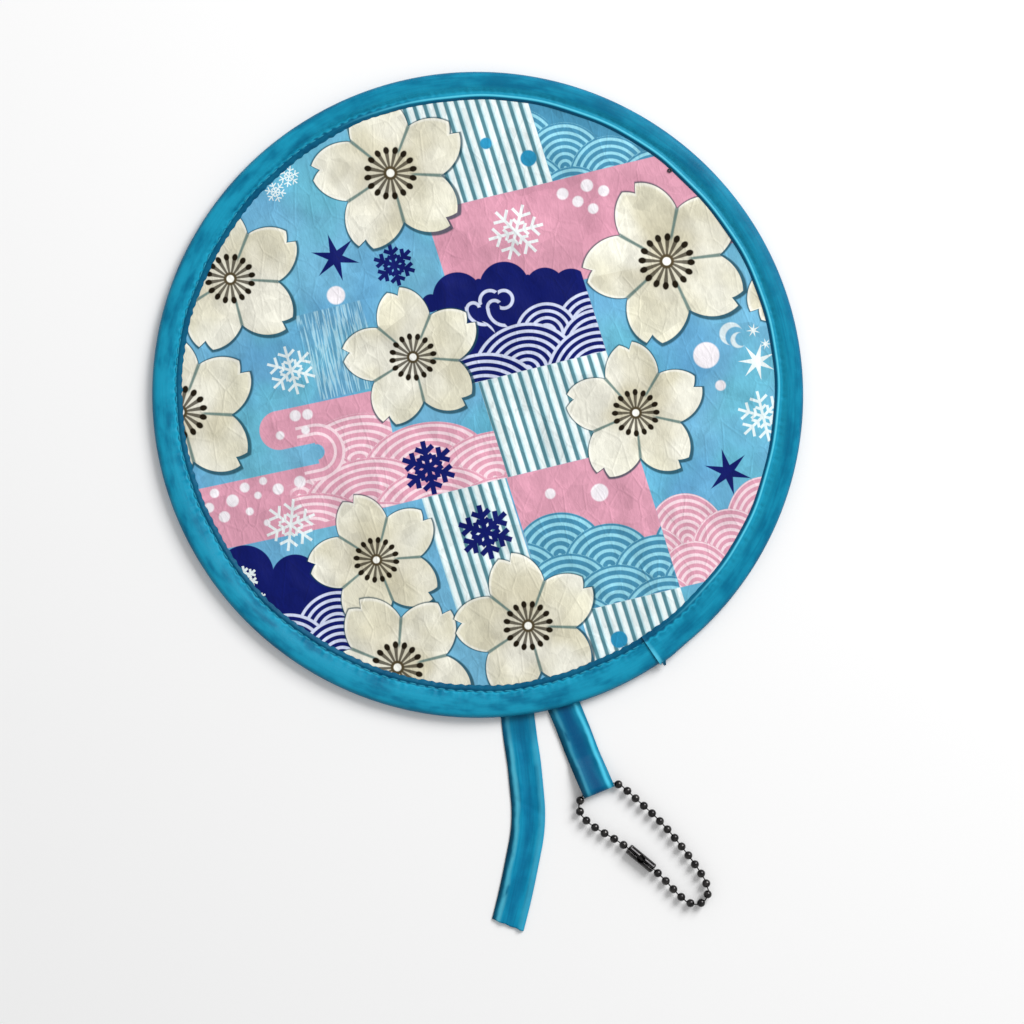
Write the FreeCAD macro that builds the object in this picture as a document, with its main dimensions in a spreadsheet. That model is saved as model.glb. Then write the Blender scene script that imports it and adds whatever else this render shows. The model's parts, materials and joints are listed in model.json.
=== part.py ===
import FreeCAD, Part
import math
import os
import re

import Sketcher

# Round twist-fold hand fan: a spring-wire hoop bound in satin tape holds a printed cloth panel.
# Two tape tails are sewn behind the rim: a tie, and a tab folded round a closed loop of ball chain.
# The fan lies on its back: Z = 0 is the rim's back face, the Z axis is the hoop's axis, and the
# tails leave towards -Y. All sizes are in millimetres, angles in degrees.

SIZES = [
    ("rim_radius", 100.0, "outer radius of the bound hoop"),
    ("rim_thickness", 3.8, "height of the rim over its wire tunnel"),
    ("binding_width", 9.5, "width of the binding from its inner edge to the rim"),
    ("flat_band", 2.1, "width of the pressed flat on the front and back of the rim"),
    ("lip_width", 2.5, "width of the sewn lip at the inner edge of the binding"),
    ("lip_thickness", 0.55, "tape on each side of the panel at the sewn lip"),
    ("lip_round", 0.4, "rounding of the folded edge of the lip"),
    ("panel_thickness", 0.3, "cloth of the panel"),
    ("panel_inset", 3.5, "distance from the rim to the edge of the panel inside the binding"),
    ("wire_diameter", 1.5, "spring wire of the hoop"),
    ("wire_butt_gap", 0.6, "gap between the two ends of the hoop wire"),
    ("ferrule_wall", 0.3, "wall of the crimped sleeve on the wire ends"),
    ("ferrule_length", 12.0, "length of the crimped sleeve along the hoop"),
    ("crimp_clearance", 0.02, "gap between the wire and the sleeve"),
    ("tunnel_clearance", 0.2, "gap between the sleeve and the tunnel of the binding"),
    ("seam_angle", -67.6, "direction of the wire joint from the X axis"),
    ("thread_diameter", 0.36, "sewing thread of the lip"),
    ("thread_inset", 1.5, "distance of the seam from the inner edge of the binding"),
    ("sewn_gap", 0.04, "gap between sewn layers"),
    ("tape_thickness", 0.3, "folded satin tape of the tails"),
    ("moving_gap", 0.3, "gap between a tail and the rim that it swings against"),
    ("root_length", 5.6, "length of each tail that is sewn behind the rim"),
    ("tie_width", 10.4, "width of the tie"),
    ("tie_angle", -4.9, "place of the tie on the rim, from the -Y direction"),
    ("tie_upper", 25.0, "straight run of the tie next to the rim"),
    ("tie_bend", 19.0, "sideways bend of the tie"),
    ("tie_bend_radius", 42.0, "radius of the bend at the middle of the tie"),
    ("tie_lower", 23.5, "straight run of the tie next to its end"),
    ("tie_end_slant", 1.6, "extra length of the tie on its outer side"),
    ("tab_width", 10.0, "width of the loop tab"),
    ("tab_angle", 3.6, "place of the tab on the rim, from the -Y direction"),
    ("tab_heading", 10.4, "direction of the tab, from the -Y direction"),
    ("tab_length", 25.2, "distance from the tab's fold line at the rim to the axis of its eye"),
    ("eye_clearance", 0.15, "gap round the chain inside the eye of the tab"),
    ("eye_taper", 24.0, "slope of the upper layer of the tab down from its eye"),
    ("bead_diameter", 2.4, "ball of the chain"),
    ("bead_wall", 0.15, "sheet of a chain ball"),
    ("bead_gap", 1.0, "visible length of a pin between two balls"),
    ("bead_hole", 0.66, "hole at each end of a chain ball"),
    ("pin_diameter", 0.42, "shank of a chain pin"),
    ("pin_head", 0.72, "ball head at each end of a chain pin"),
    ("pin_reach", 0.75, "distance of a pin head inside the wall of its ball"),
    ("sleeve_clearance", 0.15, "gap between the balls and the bore of the connector"),
    ("sleeve_wall", 0.25, "sheet of the connector"),
    ("sleeve_mouth", 1.2, "hole in each end of the connector"),
    ("sleeve_slot", 0.72, "slot along the connector, which a pin slides through"),
]

# Route of the chain's centre line in the tab's frame, in pitches of the chain from the middle of the
# eye: first along the tab, then across it. The first and last points lie on the axis of the eye.
CHAIN_ROUTE = [
    (0.0, 0.0),
    (0.0, 1.0),
    (0.44, 1.9),
    (1.3, 2.42),
    (4.7, 4.0),
    (7.5, 4.95),
    (9.6, 5.5),
    (11.5, 5.82),
    (12.48, 5.7),
    (13.12, 5.08),
    (13.13, 4.2),
    (12.5, 3.54),
    (10.4, 2.62),
    (7.6, 1.33),
    (4.9, -0.3),
    (2.36, -2.03),
    (1.4, -2.26),
    (0.48, -1.87),
    (0.0, -1.0),
]
# The chain bends over a straight edge at these distances from the eye, in pitches along its length.
ROW_NAMES = ["head", "upper", "middle", "lower", "tip"]
ROW_ENDS = [2.3, 5.0, 9.45, 12.1]
# The connector takes the place of the ball nearest to this distance on the chain's way back.
CONNECTOR_PLACE = 7.55
# A sketch point nearer to an axis than this lies on it.
ON_AXIS = 1e-9

doc = FreeCAD.newDocument("round_fan")
sheet = doc.addObject("Spreadsheet::Sheet", "Sizes")
for row, (alias, size, note) in enumerate(SIZES, start=1):
    sheet.set(f"A{row}", alias)
    sheet.set(f"B{row}", str(size))
    sheet.setAlias(f"B{row}", alias)
    sheet.set(f"C{row}", note)
doc.recompute()


def sized(expression):
    """Returns the expression with every size name read from the sheet."""
    names = {alias for alias, _, _ in SIZES}
    return re.sub(r"[a-z_]+", lambda word: f"Sizes.{word[0]}" if word[0] in names else word[0], expression)


def value(expression):
    """Returns the number that an expression of the sheet's sizes has now."""
    result = sheet.evalExpression(sized(expression))
    return float(getattr(result, "Value", result))


def bind(thing, **expressions):
    """Binds properties of a document object to expressions of the sheet's sizes."""
    for name, expression in expressions.items():
        thing.setExpression(name, sized(expression))


def new_body(label):
    """Returns a new body with its label."""
    body = doc.addObject("PartDesign::Body", label)
    body.Label = label
    return body


def new_sketch(body, name, role):
    """Returns a sketch on one of the body's own origin planes."""
    sketch = body.newObject("Sketcher::SketchObject", name)
    plane = next(item for item in body.Origin.OriginFeatures if item.Role == role)
    sketch.AttachmentSupport = (plane, [""])
    sketch.MapMode = "FlatFace"
    return sketch


def hold(sketch, edge, end, kind, expression):
    """Ties a point of a sketch edge at a distance from the origin along X or Y."""
    distance = value(expression)
    if abs(distance) < ON_AXIS:
        axis = -2 if kind == "DistanceX" else -1
        sketch.addConstraint(Sketcher.Constraint("PointOnObject", edge, end, axis))
        return
    index = sketch.addConstraint(Sketcher.Constraint(kind, -1, 1, edge, end, distance))
    sketch.setExpression(f"Constraints[{index}]", sized(expression))


def pin_down(sketch, edge, end, across, up):
    """Ties a point of a sketch edge to a place given by two expressions."""
    hold(sketch, edge, end, "DistanceX", across)
    hold(sketch, edge, end, "DistanceY", up)


def draw_loop(sketch, corners):
    """Draws a closed outline.

    Each corner is (across, up) for a straight edge to the next corner, or (across, up, centre across,
    centre up, turn) for an arc to it, whose turn is 1 anticlockwise and -1 clockwise.
    """
    joints = []
    for place, corner in enumerate(corners):
        follower = corners[(place + 1) % len(corners)]
        start = FreeCAD.Vector(value(corner[0]), value(corner[1]), 0)
        stop = FreeCAD.Vector(value(follower[0]), value(follower[1]), 0)
        if len(corner) == 2:
            edge = sketch.addGeometry(Part.LineSegment(start, stop))
            ends = (1, 2)
        else:
            centre_across, centre_up, turn = corner[2:]
            centre = FreeCAD.Vector(value(centre_across), value(centre_up), 0)
            ends = (1, 2) if turn > 0 else (2, 1)
            first, last = (start, stop) if turn > 0 else (stop, start)
            angles = [math.atan2(end.y - centre.y, end.x - centre.x) for end in (first, last)]
            if angles[1] <= angles[0]:
                angles[1] += 2 * math.pi
            circle = Part.Circle(centre, FreeCAD.Vector(0, 0, 1), (start - centre).Length)
            edge = sketch.addGeometry(Part.ArcOfCircle(circle, *angles))
            chord = stop - start
            if abs(chord.y) > abs(chord.x):
                hold(sketch, edge, 3, "DistanceX", centre_across)
            else:
                hold(sketch, edge, 3, "DistanceY", centre_up)
        pin_down(sketch, edge, ends[0], corner[0], corner[1])
        joints.append((edge, ends))
    for place, (edge, ends) in enumerate(joints):
        follower, follower_ends = joints[(place + 1) % len(joints)]
        sketch.addConstraint(Sketcher.Constraint("Coincident", edge, ends[1], follower, follower_ends[0]))


def draw_circle(sketch, across, up, radius):
    """Draws a circle with its centre and radius given by expressions."""
    centre = FreeCAD.Vector(value(across), value(up), 0)
    edge = sketch.addGeometry(Part.Circle(centre, FreeCAD.Vector(0, 0, 1), value(radius)))
    pin_down(sketch, edge, 3, across, up)
    index = sketch.addConstraint(Sketcher.Constraint("Radius", edge, value(radius)))
    sketch.setExpression(f"Constraints[{index}]", sized(radius))


def revolve(body, sketch, axis, angle="360"):
    """Revolves a sketch about its own H_Axis or V_Axis, evenly to both sides."""
    feature = body.newObject("PartDesign::Revolution", f"{body.Name}_revolve")
    feature.Profile = sketch
    feature.ReferenceAxis = (sketch, [axis])
    feature.Midplane = True
    bind(feature, Angle=angle)
    return feature


def pad(body, sketch, length, midplane=False):
    """Pads a sketch, upwards or evenly to both sides."""
    feature = body.newObject("PartDesign::Pad", f"{body.Name}_pad")
    feature.Profile = sketch
    feature.SideType = "Symmetric" if midplane else "One side"
    bind(feature, Length=length)
    return feature


def pocket(body, sketch, name, depth):
    """Cuts a sketch into a body against the sketch's normal."""
    feature = body.newObject("PartDesign::Pocket", f"{body.Name}_{name}")
    feature.Profile = sketch
    bind(feature, Length=depth)
    return feature


def solid_box(label, length, width, height):
    """Returns a box whose sizes are bound to the sheet."""
    box = doc.addObject("Part::Box", label)
    box.Label = label
    bind(box, Length=length, Width=width, Height=height)
    return box


def shape_node(label, shape):
    """Returns a document object that holds a worked-out shape."""
    node = doc.addObject("Part::Feature", label)
    node.Label = label
    node.Shape = shape
    return node


# Sizes that several pieces share.
WIRE_RADIUS = "(rim_radius - rim_thickness / 2)"
MID_HEIGHT = "(rim_thickness / 2)"
FERRULE_BORE = "(wire_diameter / 2 + crimp_clearance)"
FERRULE_OUTSIDE = f"({FERRULE_BORE} + ferrule_wall)"
TUNNEL = f"({FERRULE_OUTSIDE} + tunnel_clearance)"
INNER_EDGE = "(rim_radius - binding_width)"
LIP_HEIGHT = "(panel_thickness / 2 + lip_thickness)"
TIE_HINGE = "(rim_radius + tape_thickness / 2 + moving_gap)"
TAB_HINGE = (
    "(rim_radius + tape_thickness + moving_gap + tab_width / 2 * tan(tab_heading - tab_angle))"
)
EYE_BORE = "(bead_diameter / 2 + eye_clearance)"
EYE_OUTSIDE = f"({EYE_BORE} + tape_thickness)"
PITCH = "(bead_diameter + bead_gap)"
MID_WALL = "(bead_diameter / 2 - bead_wall / 2)"


def make_panel():
    """The printed cloth disc, held between the two sides of the binding."""
    panel = doc.addObject("Part::Cylinder", "printed_panel")
    panel.Label = "printed_panel"
    bind(panel, Radius="rim_radius - panel_inset", Height="panel_thickness")
    panel.setExpression("Placement.Base.z", sized(f"{MID_HEIGHT} - panel_thickness / 2"))
    return panel


def make_hoop_wire():
    """The spring wire, an open ring whose two ends almost meet."""
    wire = doc.addObject("Part::Torus", "hoop_wire")
    wire.Label = "hoop_wire"
    gap = f"wire_butt_gap / {WIRE_RADIUS} * 180 / pi"
    bind(wire, Radius1=WIRE_RADIUS, Radius2="wire_diameter / 2", Angle3=f"360 - {gap}")
    wire.setExpression("Placement.Base.z", sized(MID_HEIGHT))
    wire.setExpression("Placement.Rotation.Angle", sized(f"seam_angle + {gap} / 2"))
    return wire


def make_ferrule():
    """The sleeve crimped over the two ends of the wire."""
    body = new_body("hoop_ferrule")
    sketch = new_sketch(body, "ferrule_section", "XZ_Plane")
    draw_circle(sketch, WIRE_RADIUS, MID_HEIGHT, FERRULE_OUTSIDE)
    draw_circle(sketch, WIRE_RADIUS, MID_HEIGHT, FERRULE_BORE)
    revolve(body, sketch, "V_Axis", f"ferrule_length / {WIRE_RADIUS} * 180 / pi")
    body.setExpression("Placement.Rotation.Angle", sized("seam_angle"))
    return body


def ribbon_frame(place, heading, distance):
    """Returns the frame of a tail: its hinge at the rim, X outwards along the tail, Z up."""
    angle = math.radians(place - 90)
    base = FreeCAD.Vector(distance * math.cos(angle), distance * math.sin(angle), 0)
    return FreeCAD.Placement(base, FreeCAD.Rotation(FreeCAD.Vector(0, 0, 1), heading - 90))


TIE_FRAME = ribbon_frame(value("tie_angle"), value("tie_angle"), value(TIE_HINGE))
TAB_FRAME = ribbon_frame(value("tab_angle"), value("tab_heading"), value(TAB_HINGE))


def place_box(box, frame, back, height):
    """Puts a box behind a tail's hinge, centred across it."""
    corner = FreeCAD.Vector(-value(back), -box.Width.Value / 2, value(height))
    box.Placement = frame.multiply(FreeCAD.Placement(corner, FreeCAD.Rotation()))


def make_binding():
    """The satin tape folded round the wire and over both faces of the panel's edge.

    Its tunnel is pressed in behind each tail, so that the tails lie flush with the rim's back.
    """
    body = new_body("binding_tape")
    sketch = new_sketch(body, "binding_section", "XZ_Plane")
    inner, lip_end = INNER_EDGE, f"{INNER_EDGE} + lip_width"
    band = f"{WIRE_RADIUS} - flat_band"
    slit = f"{WIRE_RADIUS} - sqrt({TUNNEL} * {TUNNEL} - panel_thickness * panel_thickness / 4)"
    rounded = f"{INNER_EDGE} + lip_round"

    def above(height):
        return f"{MID_HEIGHT} + {height}"

    def below(height):
        return f"{MID_HEIGHT} - {height}"

    half = "panel_thickness / 2"
    curl = f"({LIP_HEIGHT} - lip_round)"
    draw_loop(sketch, [
        (inner, above(half)),
        (inner, above(curl), rounded, above(curl), -1),
        (rounded, above(LIP_HEIGHT)),
        (lip_end, above(LIP_HEIGHT)),
        (band, above(MID_HEIGHT)),
        (WIRE_RADIUS, above(MID_HEIGHT), WIRE_RADIUS, MID_HEIGHT, -1),
        (WIRE_RADIUS, below(MID_HEIGHT)),
        (band, below(MID_HEIGHT)),
        (lip_end, below(LIP_HEIGHT)),
        (rounded, below(LIP_HEIGHT), rounded, below(curl), -1),
        (inner, below(curl)),
        (inner, below(half)),
        (slit, below(half), WIRE_RADIUS, MID_HEIGHT, 1),
        (slit, above(half)),
    ])
    revolve(body, sketch, "V_Axis")
    seats = []
    for name, frame, width, layers in (
        ("tie_seat", TIE_FRAME, "tie_width", "tape_thickness"),
        ("tab_seat", TAB_FRAME, "tab_width", "2 * tape_thickness"),
    ):
        seat = solid_box(
            name, "2 * root_length", f"{width} + 2 * sewn_gap", f"{layers} + sewn_gap + rim_thickness"
        )
        place_box(seat, frame, "root_length + sewn_gap", "0 - rim_thickness")
        seats.append(seat)
    both = doc.addObject("Part::MultiFuse", "tail_seats")
    both.Shapes = seats
    binding = doc.addObject("Part::Cut", "rim_binding")
    binding.Label = "rim_binding"
    binding.Base = body
    binding.Tool = both
    return binding


def make_seam_thread():
    """The sewing thread of the lip, one line on the front and one on the back."""
    rings = []
    for side, sign in (("front", "+"), ("back", "-")):
        ring = doc.addObject("Part::Torus", f"{side}_thread")
        bind(ring, Radius1=f"{INNER_EDGE} + thread_inset", Radius2="thread_diameter / 2")
        lift = f"({LIP_HEIGHT} + thread_diameter / 2 + sewn_gap)"
        ring.setExpression("Placement.Base.z", sized(f"{MID_HEIGHT} {sign} {lift}"))
        rings.append(ring)
    thread = doc.addObject("Part::Compound", "seam_thread")
    thread.Label = "seam_thread"
    thread.Links = rings
    return thread


def make_root(label, frame, width, layers):
    """The end of a tail that is sewn behind the rim."""
    gap = f"({layers} / 2 + moving_gap)"
    root = solid_box(label, f"root_length - {gap}", width, layers)
    place_box(root, frame, "root_length", "0")
    return root


def make_tie():
    """The free part of the tie: a straight run, a sideways bend and a straight run to a slanted end."""
    body = new_body("tie_tail")
    sketch = new_sketch(body, "tie_outline", "XY_Plane")
    bend_start = "tie_upper"
    half = "tie_width / 2"
    inner = f"(tie_bend_radius - {half})"
    outer = f"(tie_bend_radius + {half})"

    def bent(radius, run):
        across = f"{bend_start} + {radius} * sin(tie_bend) + ({run}) * cos(tie_bend)"
        up = f"{radius} * cos(tie_bend) - tie_bend_radius - ({run}) * sin(tie_bend)"
        return across, up

    draw_loop(sketch, [
        ("0", half),
        ("0", f"0 - {half}"),
        (bend_start, f"0 - {half}", bend_start, "0 - tie_bend_radius", -1),
        bent(inner, "0"),
        bent(inner, "tie_lower"),
        bent(outer, "tie_lower + tie_end_slant"),
        (*bent(outer, "0"), bend_start, "0 - tie_bend_radius", 1),
        (bend_start, half),
    ])
    pad(body, sketch, "tape_thickness")
    fold = new_sketch(body, "tie_fold", "XZ_Plane")
    draw_circle(fold, "0", "tape_thickness / 2", "tape_thickness / 2")
    rounding = pad(body, fold, "tie_width", midplane=True)
    body.Tip = rounding
    body.Placement = TIE_FRAME
    return body


def make_tab():
    """The loop tab: tape doubled back on itself, sewn together up to an eye for the chain."""
    body = new_body("loop_tab")
    sketch = new_sketch(body, "tab_section", "XZ_Plane")
    eye = "tab_length"
    layers = "2 * tape_thickness"
    rise, run = "cos(eye_taper)", "sin(eye_taper)"
    top = f"({EYE_OUTSIDE} * (1 + {rise}))"
    top_at = f"({eye} - {EYE_OUTSIDE} * {run})"
    bore_top = f"({EYE_OUTSIDE} + {EYE_BORE} * {rise})"
    bore_at = f"({eye} - {EYE_BORE} * {run})"
    draw_loop(sketch, [
        ("0", layers, "0", "tape_thickness", 1),
        ("0", "0"),
        (eye, "0", eye, EYE_OUTSIDE, 1),
        (top_at, top),
        (f"{top_at} - ({top} - {layers}) / tan(eye_taper)", layers),
    ])
    draw_loop(sketch, [
        (f"{bore_at} - ({bore_top} - tape_thickness) / tan(eye_taper)", "tape_thickness"),
        (eye, "tape_thickness", eye, EYE_OUTSIDE, 1),
        (bore_at, bore_top),
    ])
    pad(body, sketch, "tab_width", midplane=True)
    body.Placement = TAB_FRAME
    return body


def make_bead():
    """One hollow ball of the chain, with a hole at each end along X."""
    body = new_body("chain_bead")
    sketch = new_sketch(body, "bead_section", "XZ_Plane")
    outside, bore = "bead_diameter / 2", "(bead_diameter / 2 - bead_wall)"
    hole = "bead_hole / 2"
    reach = f"sqrt({outside} * {outside} - {hole} * {hole})"
    inside = f"sqrt({bore} * {bore} - {hole} * {hole})"
    draw_loop(sketch, [
        (f"0 - {reach}", hole, "0", "0", -1),
        (reach, hole),
        (inside, hole, "0", "0", 1),
        (f"0 - {inside}", hole),
    ])
    revolve(body, sketch, "H_Axis")
    return body


def make_pin():
    """One pin of the chain along X, with a ball head inside the chain's ball at each end."""
    body = new_body("chain_pin")
    sketch = new_sketch(body, "pin_section", "XZ_Plane")
    head, shank = "pin_head / 2", "pin_diameter / 2"
    centre = "(bead_gap / 2 + bead_wall / 2 + pin_reach)"
    neck = f"({centre} - sqrt({head} * {head} - {shank} * {shank}))"
    draw_loop(sketch, [
        (f"0 - {centre} - {head}", "0", f"0 - {centre}", "0", -1),
        (f"0 - {neck}", shank),
        (neck, shank, centre, "0", -1),
        (f"{centre} + {head}", "0"),
    ])
    revolve(body, sketch, "H_Axis")
    return body


def make_connector():
    """The connector sleeve along X: a slotted barrel that holds the two end balls of the chain."""
    body = new_body("chain_connector")
    sketch = new_sketch(body, "sleeve_section", "XZ_Plane")
    bore = "(bead_diameter / 2 + sleeve_clearance)"
    outside = f"({bore} + sleeve_wall)"
    inside = f"({PITCH} + bead_diameter / 2 + sleeve_clearance)"
    length = f"({inside} + sleeve_wall)"
    mouth = "sleeve_mouth / 2"
    draw_loop(sketch, [
        (f"0 - {length}", mouth),
        (f"0 - {length}", bore, f"0 - {inside}", bore, -1),
        (f"0 - {inside}", outside),
        (inside, outside, inside, bore, -1),
        (length, bore),
        (length, mouth),
        (inside, mouth),
        (inside, bore),
        (f"0 - {inside}", bore),
        (f"0 - {inside}", mouth),
    ])
    revolve(body, sketch, "H_Axis")
    slot = new_sketch(body, "sleeve_slot", "XY_Plane")
    half = "sleeve_slot / 2"
    draw_loop(slot, [
        (f"0 - {length} - sleeve_wall", f"0 - {half}"),
        (f"{length} + sleeve_wall", f"0 - {half}"),
        (f"{length} + sleeve_wall", half),
        (f"0 - {length} - sleeve_wall", half),
    ])
    cut = pocket(body, slot, "slot", f"{outside} + sleeve_wall")
    cut.Reversed = True
    entry = new_sketch(body, "ball_entry", "XY_Plane")
    draw_circle(entry, "0", "0", f"{bore} - sleeve_clearance / 2")
    opening = pocket(body, entry, "entry", f"{outside} + sleeve_wall")
    opening.Reversed = True
    body.Tip = opening
    return body


def chain_places():
    """Returns the places of the chain's balls, evenly spaced along its route, in the part's frame."""
    pitch = value(PITCH)
    eye = FreeCAD.Vector(value("tab_length"), 0, value(EYE_OUTSIDE))
    route = [eye + FreeCAD.Vector(along * pitch, across * pitch, 0) for along, across in CHAIN_ROUTE]
    line = Part.BSplineCurve()
    line.interpolate(route, PeriodicFlag=True)
    count = round(line.length() / pitch)
    places = line.toShape().discretize(Number=count + 1)[:-1]
    return [TAB_FRAME.multVec(place) for place in places]


def along_x(place, direction):
    """Returns the placement that turns the X axis to a direction at a place."""
    return FreeCAD.Placement(place, FreeCAD.Rotation(FreeCAD.Vector(1, 0, 0), direction))


def ball_axes(places):
    """Returns the direction of each ball's two holes, along the chain."""
    count = len(places)
    return [(places[(ball + 1) % count] - places[ball - 1]).normalize() for ball in range(count)]


def make_chain(bead, pin, connector):
    """The rows of the chain: the balls and pins between two of the lines that the loop bends over."""
    places = chain_places()
    count = len(places)
    pitch = value(PITCH)
    far = max(places, key=lambda place: (place - places[0]).Length)
    lengthwise = (far - places[0]).normalize()
    reaches = [(place - places[0]).dot(lengthwise) / pitch for place in places]
    rows = [sum(reach > end for end in ROW_ENDS) for reach in reaches]
    way_back = range(count // 2, count)
    gap = min(way_back, key=lambda ball: abs(reaches[ball] - CONNECTOR_PLACE))
    axes = ball_axes(places)
    reach_of_hole = value(MID_WALL)
    beads = [[] for _ in ROW_NAMES]
    pins = [[] for _ in ROW_NAMES]
    for ball in range(count):
        if ball == gap:
            continue
        beads[rows[ball]].append(bead.Shape.transformed(along_x(places[ball], axes[ball]).Matrix))
        follower = (ball + 1) % count
        if follower == gap:
            continue
        start = places[ball] + axes[ball] * reach_of_hole
        stop = places[follower] - axes[follower] * reach_of_hole
        middle = along_x((start + stop) * 0.5, stop - start)
        pins[min(rows[ball], rows[follower])].append(pin.Shape.transformed(middle.Matrix))
        if rows[ball] != rows[follower]:
            pivot = stop if rows[follower] > rows[ball] else start
            print(f"bend {ROW_NAMES[max(rows[ball], rows[follower])]} pivot", *pivot)
    nodes = []
    for name, row_beads, row_pins in zip(ROW_NAMES, beads, pins):
        nodes.append(shape_node(f"chain_{name}_beads", Part.makeCompound(row_beads)))
        nodes.append(shape_node(f"chain_{name}_pins", Part.makeCompound(row_pins)))
    before, after = places[gap - 1], places[(gap + 1) % count]
    connector.Placement = along_x((before + after) * 0.5, after - before)
    print("balls", count - 1, "spacing", (places[1] - places[0]).Length)
    print("connector", *connector.Placement.Base, "axis", *(after - before).normalize())
    return nodes


def check(nodes):
    """Stops the build where an object failed or a piece has no valid solid."""
    for thing in doc.Objects:
        if {"Invalid", "Error"} & set(thing.State):
            raise RuntimeError(f"{thing.Label} failed: {thing.State}")
    for node in nodes:
        if node.Shape.isNull() or not node.Shape.isValid() or not node.Shape.Solids:
            raise RuntimeError(f"{node.Label} has no valid solid")


def main():
    """Builds the fan and writes one file for each piece."""
    nodes = [
        make_panel(),
        make_hoop_wire(),
        make_ferrule(),
        make_binding(),
        make_seam_thread(),
        make_root("tie_root", TIE_FRAME, "tie_width", "tape_thickness"),
        make_root("tab_root", TAB_FRAME, "tab_width", "(2 * tape_thickness)"),
        make_tie(),
        make_tab(),
    ]
    bead, pin, connector = make_bead(), make_pin(), make_connector()
    doc.recompute()
    nodes += [connector, *make_chain(bead, pin, connector)]
    doc.recompute()
    check(nodes)
    os.makedirs("parts", exist_ok=True)
    for node in nodes:
        node.Shape.exportStep(f"parts/{node.Label}.step")
        print(node.Label, len(node.Shape.Solids), round(node.Shape.Volume, 3))
    print("tie hinge", *TIE_FRAME.Base, "tab hinge", *TAB_FRAME.Base)


main()
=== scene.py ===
"""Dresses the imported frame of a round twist-fold hand fan.

The fan is a printed cloth panel in a hoop bound with satin tape. A tie and a loop tab are sewn behind
its rim, and the tab carries a ball chain. Sizes are in millimetres in the frame's own axes, and become
metres where a mesh is made.
"""
import json
import logging
import math
from dataclasses import dataclass, field
from enum import Enum
from typing import Sequence, Union

import bmesh
import bpy
import numpy as np
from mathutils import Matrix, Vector


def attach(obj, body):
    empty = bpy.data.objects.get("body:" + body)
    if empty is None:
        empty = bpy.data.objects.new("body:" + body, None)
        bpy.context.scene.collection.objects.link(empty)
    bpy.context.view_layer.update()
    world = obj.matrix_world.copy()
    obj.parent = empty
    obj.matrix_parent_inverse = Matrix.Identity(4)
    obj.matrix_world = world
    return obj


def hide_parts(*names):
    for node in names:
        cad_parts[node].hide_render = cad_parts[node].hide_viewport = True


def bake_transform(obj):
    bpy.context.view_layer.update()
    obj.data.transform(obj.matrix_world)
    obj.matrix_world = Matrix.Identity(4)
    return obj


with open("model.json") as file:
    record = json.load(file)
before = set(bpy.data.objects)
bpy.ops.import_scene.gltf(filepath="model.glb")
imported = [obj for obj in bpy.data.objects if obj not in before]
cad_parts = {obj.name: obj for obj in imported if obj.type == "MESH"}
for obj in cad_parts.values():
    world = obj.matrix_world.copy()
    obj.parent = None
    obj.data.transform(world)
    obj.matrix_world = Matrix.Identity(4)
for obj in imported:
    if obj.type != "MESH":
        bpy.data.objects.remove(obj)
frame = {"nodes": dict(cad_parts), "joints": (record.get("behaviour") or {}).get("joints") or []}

LOG = logging.getLogger("hand_fan")
MM = 0.001
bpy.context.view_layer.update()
RUN_MAP = "tape_run"

RIM_MIDDLE = 1.9
SEAM_RADIUS = 91.6
SEAM_ANGLE = math.radians(-67.6)
SEWN_SIDE = math.radians(200.0)
STITCHES = 193
TIE_WIDTH, TAB_WIDTH = 10.4, 10.0
TAIL_ROOT = 5.6
HINGE_BEND = 0.8
INK_EDGE = 0.3
STEP_EDGE = 0.2

Tree, Socket, Node, Piece = bpy.types.NodeTree, bpy.types.NodeSocket, bpy.types.Node, bpy.types.Object
Array = np.ndarray
Faces = list[tuple[int, ...]]
Pair = tuple[float, float]
Triple = tuple[float, float, float]
Edges = tuple[float, float, float, float]
Colour = Triple
Number = Union[float, "Field"]

EVEN: Triple = (1.0, 1.0, 1.0)
UPWARD = np.array((0.0, 0.0, 1.0))


def screen(red: int, green: int, blue: int) -> Colour:
    """Turns an eight-bit screen colour into a linear one."""
    shares = (red / 255, green / 255, blue / 255)
    return tuple(s / 12.92 if s <= 0.04045 else ((s + 0.055) / 1.055) ** 2.4 for s in shares)


class Side(Enum):
    """A face of the fan, as the sign of its Z direction."""

    FRONT = 1
    BACK = -1


class ChainRow(Enum):
    """A row of the chain that moves as one body."""

    HEAD = "head"
    UPPER = "upper"
    MIDDLE = "middle"
    LOWER = "lower"
    TIP = "tip"


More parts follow.
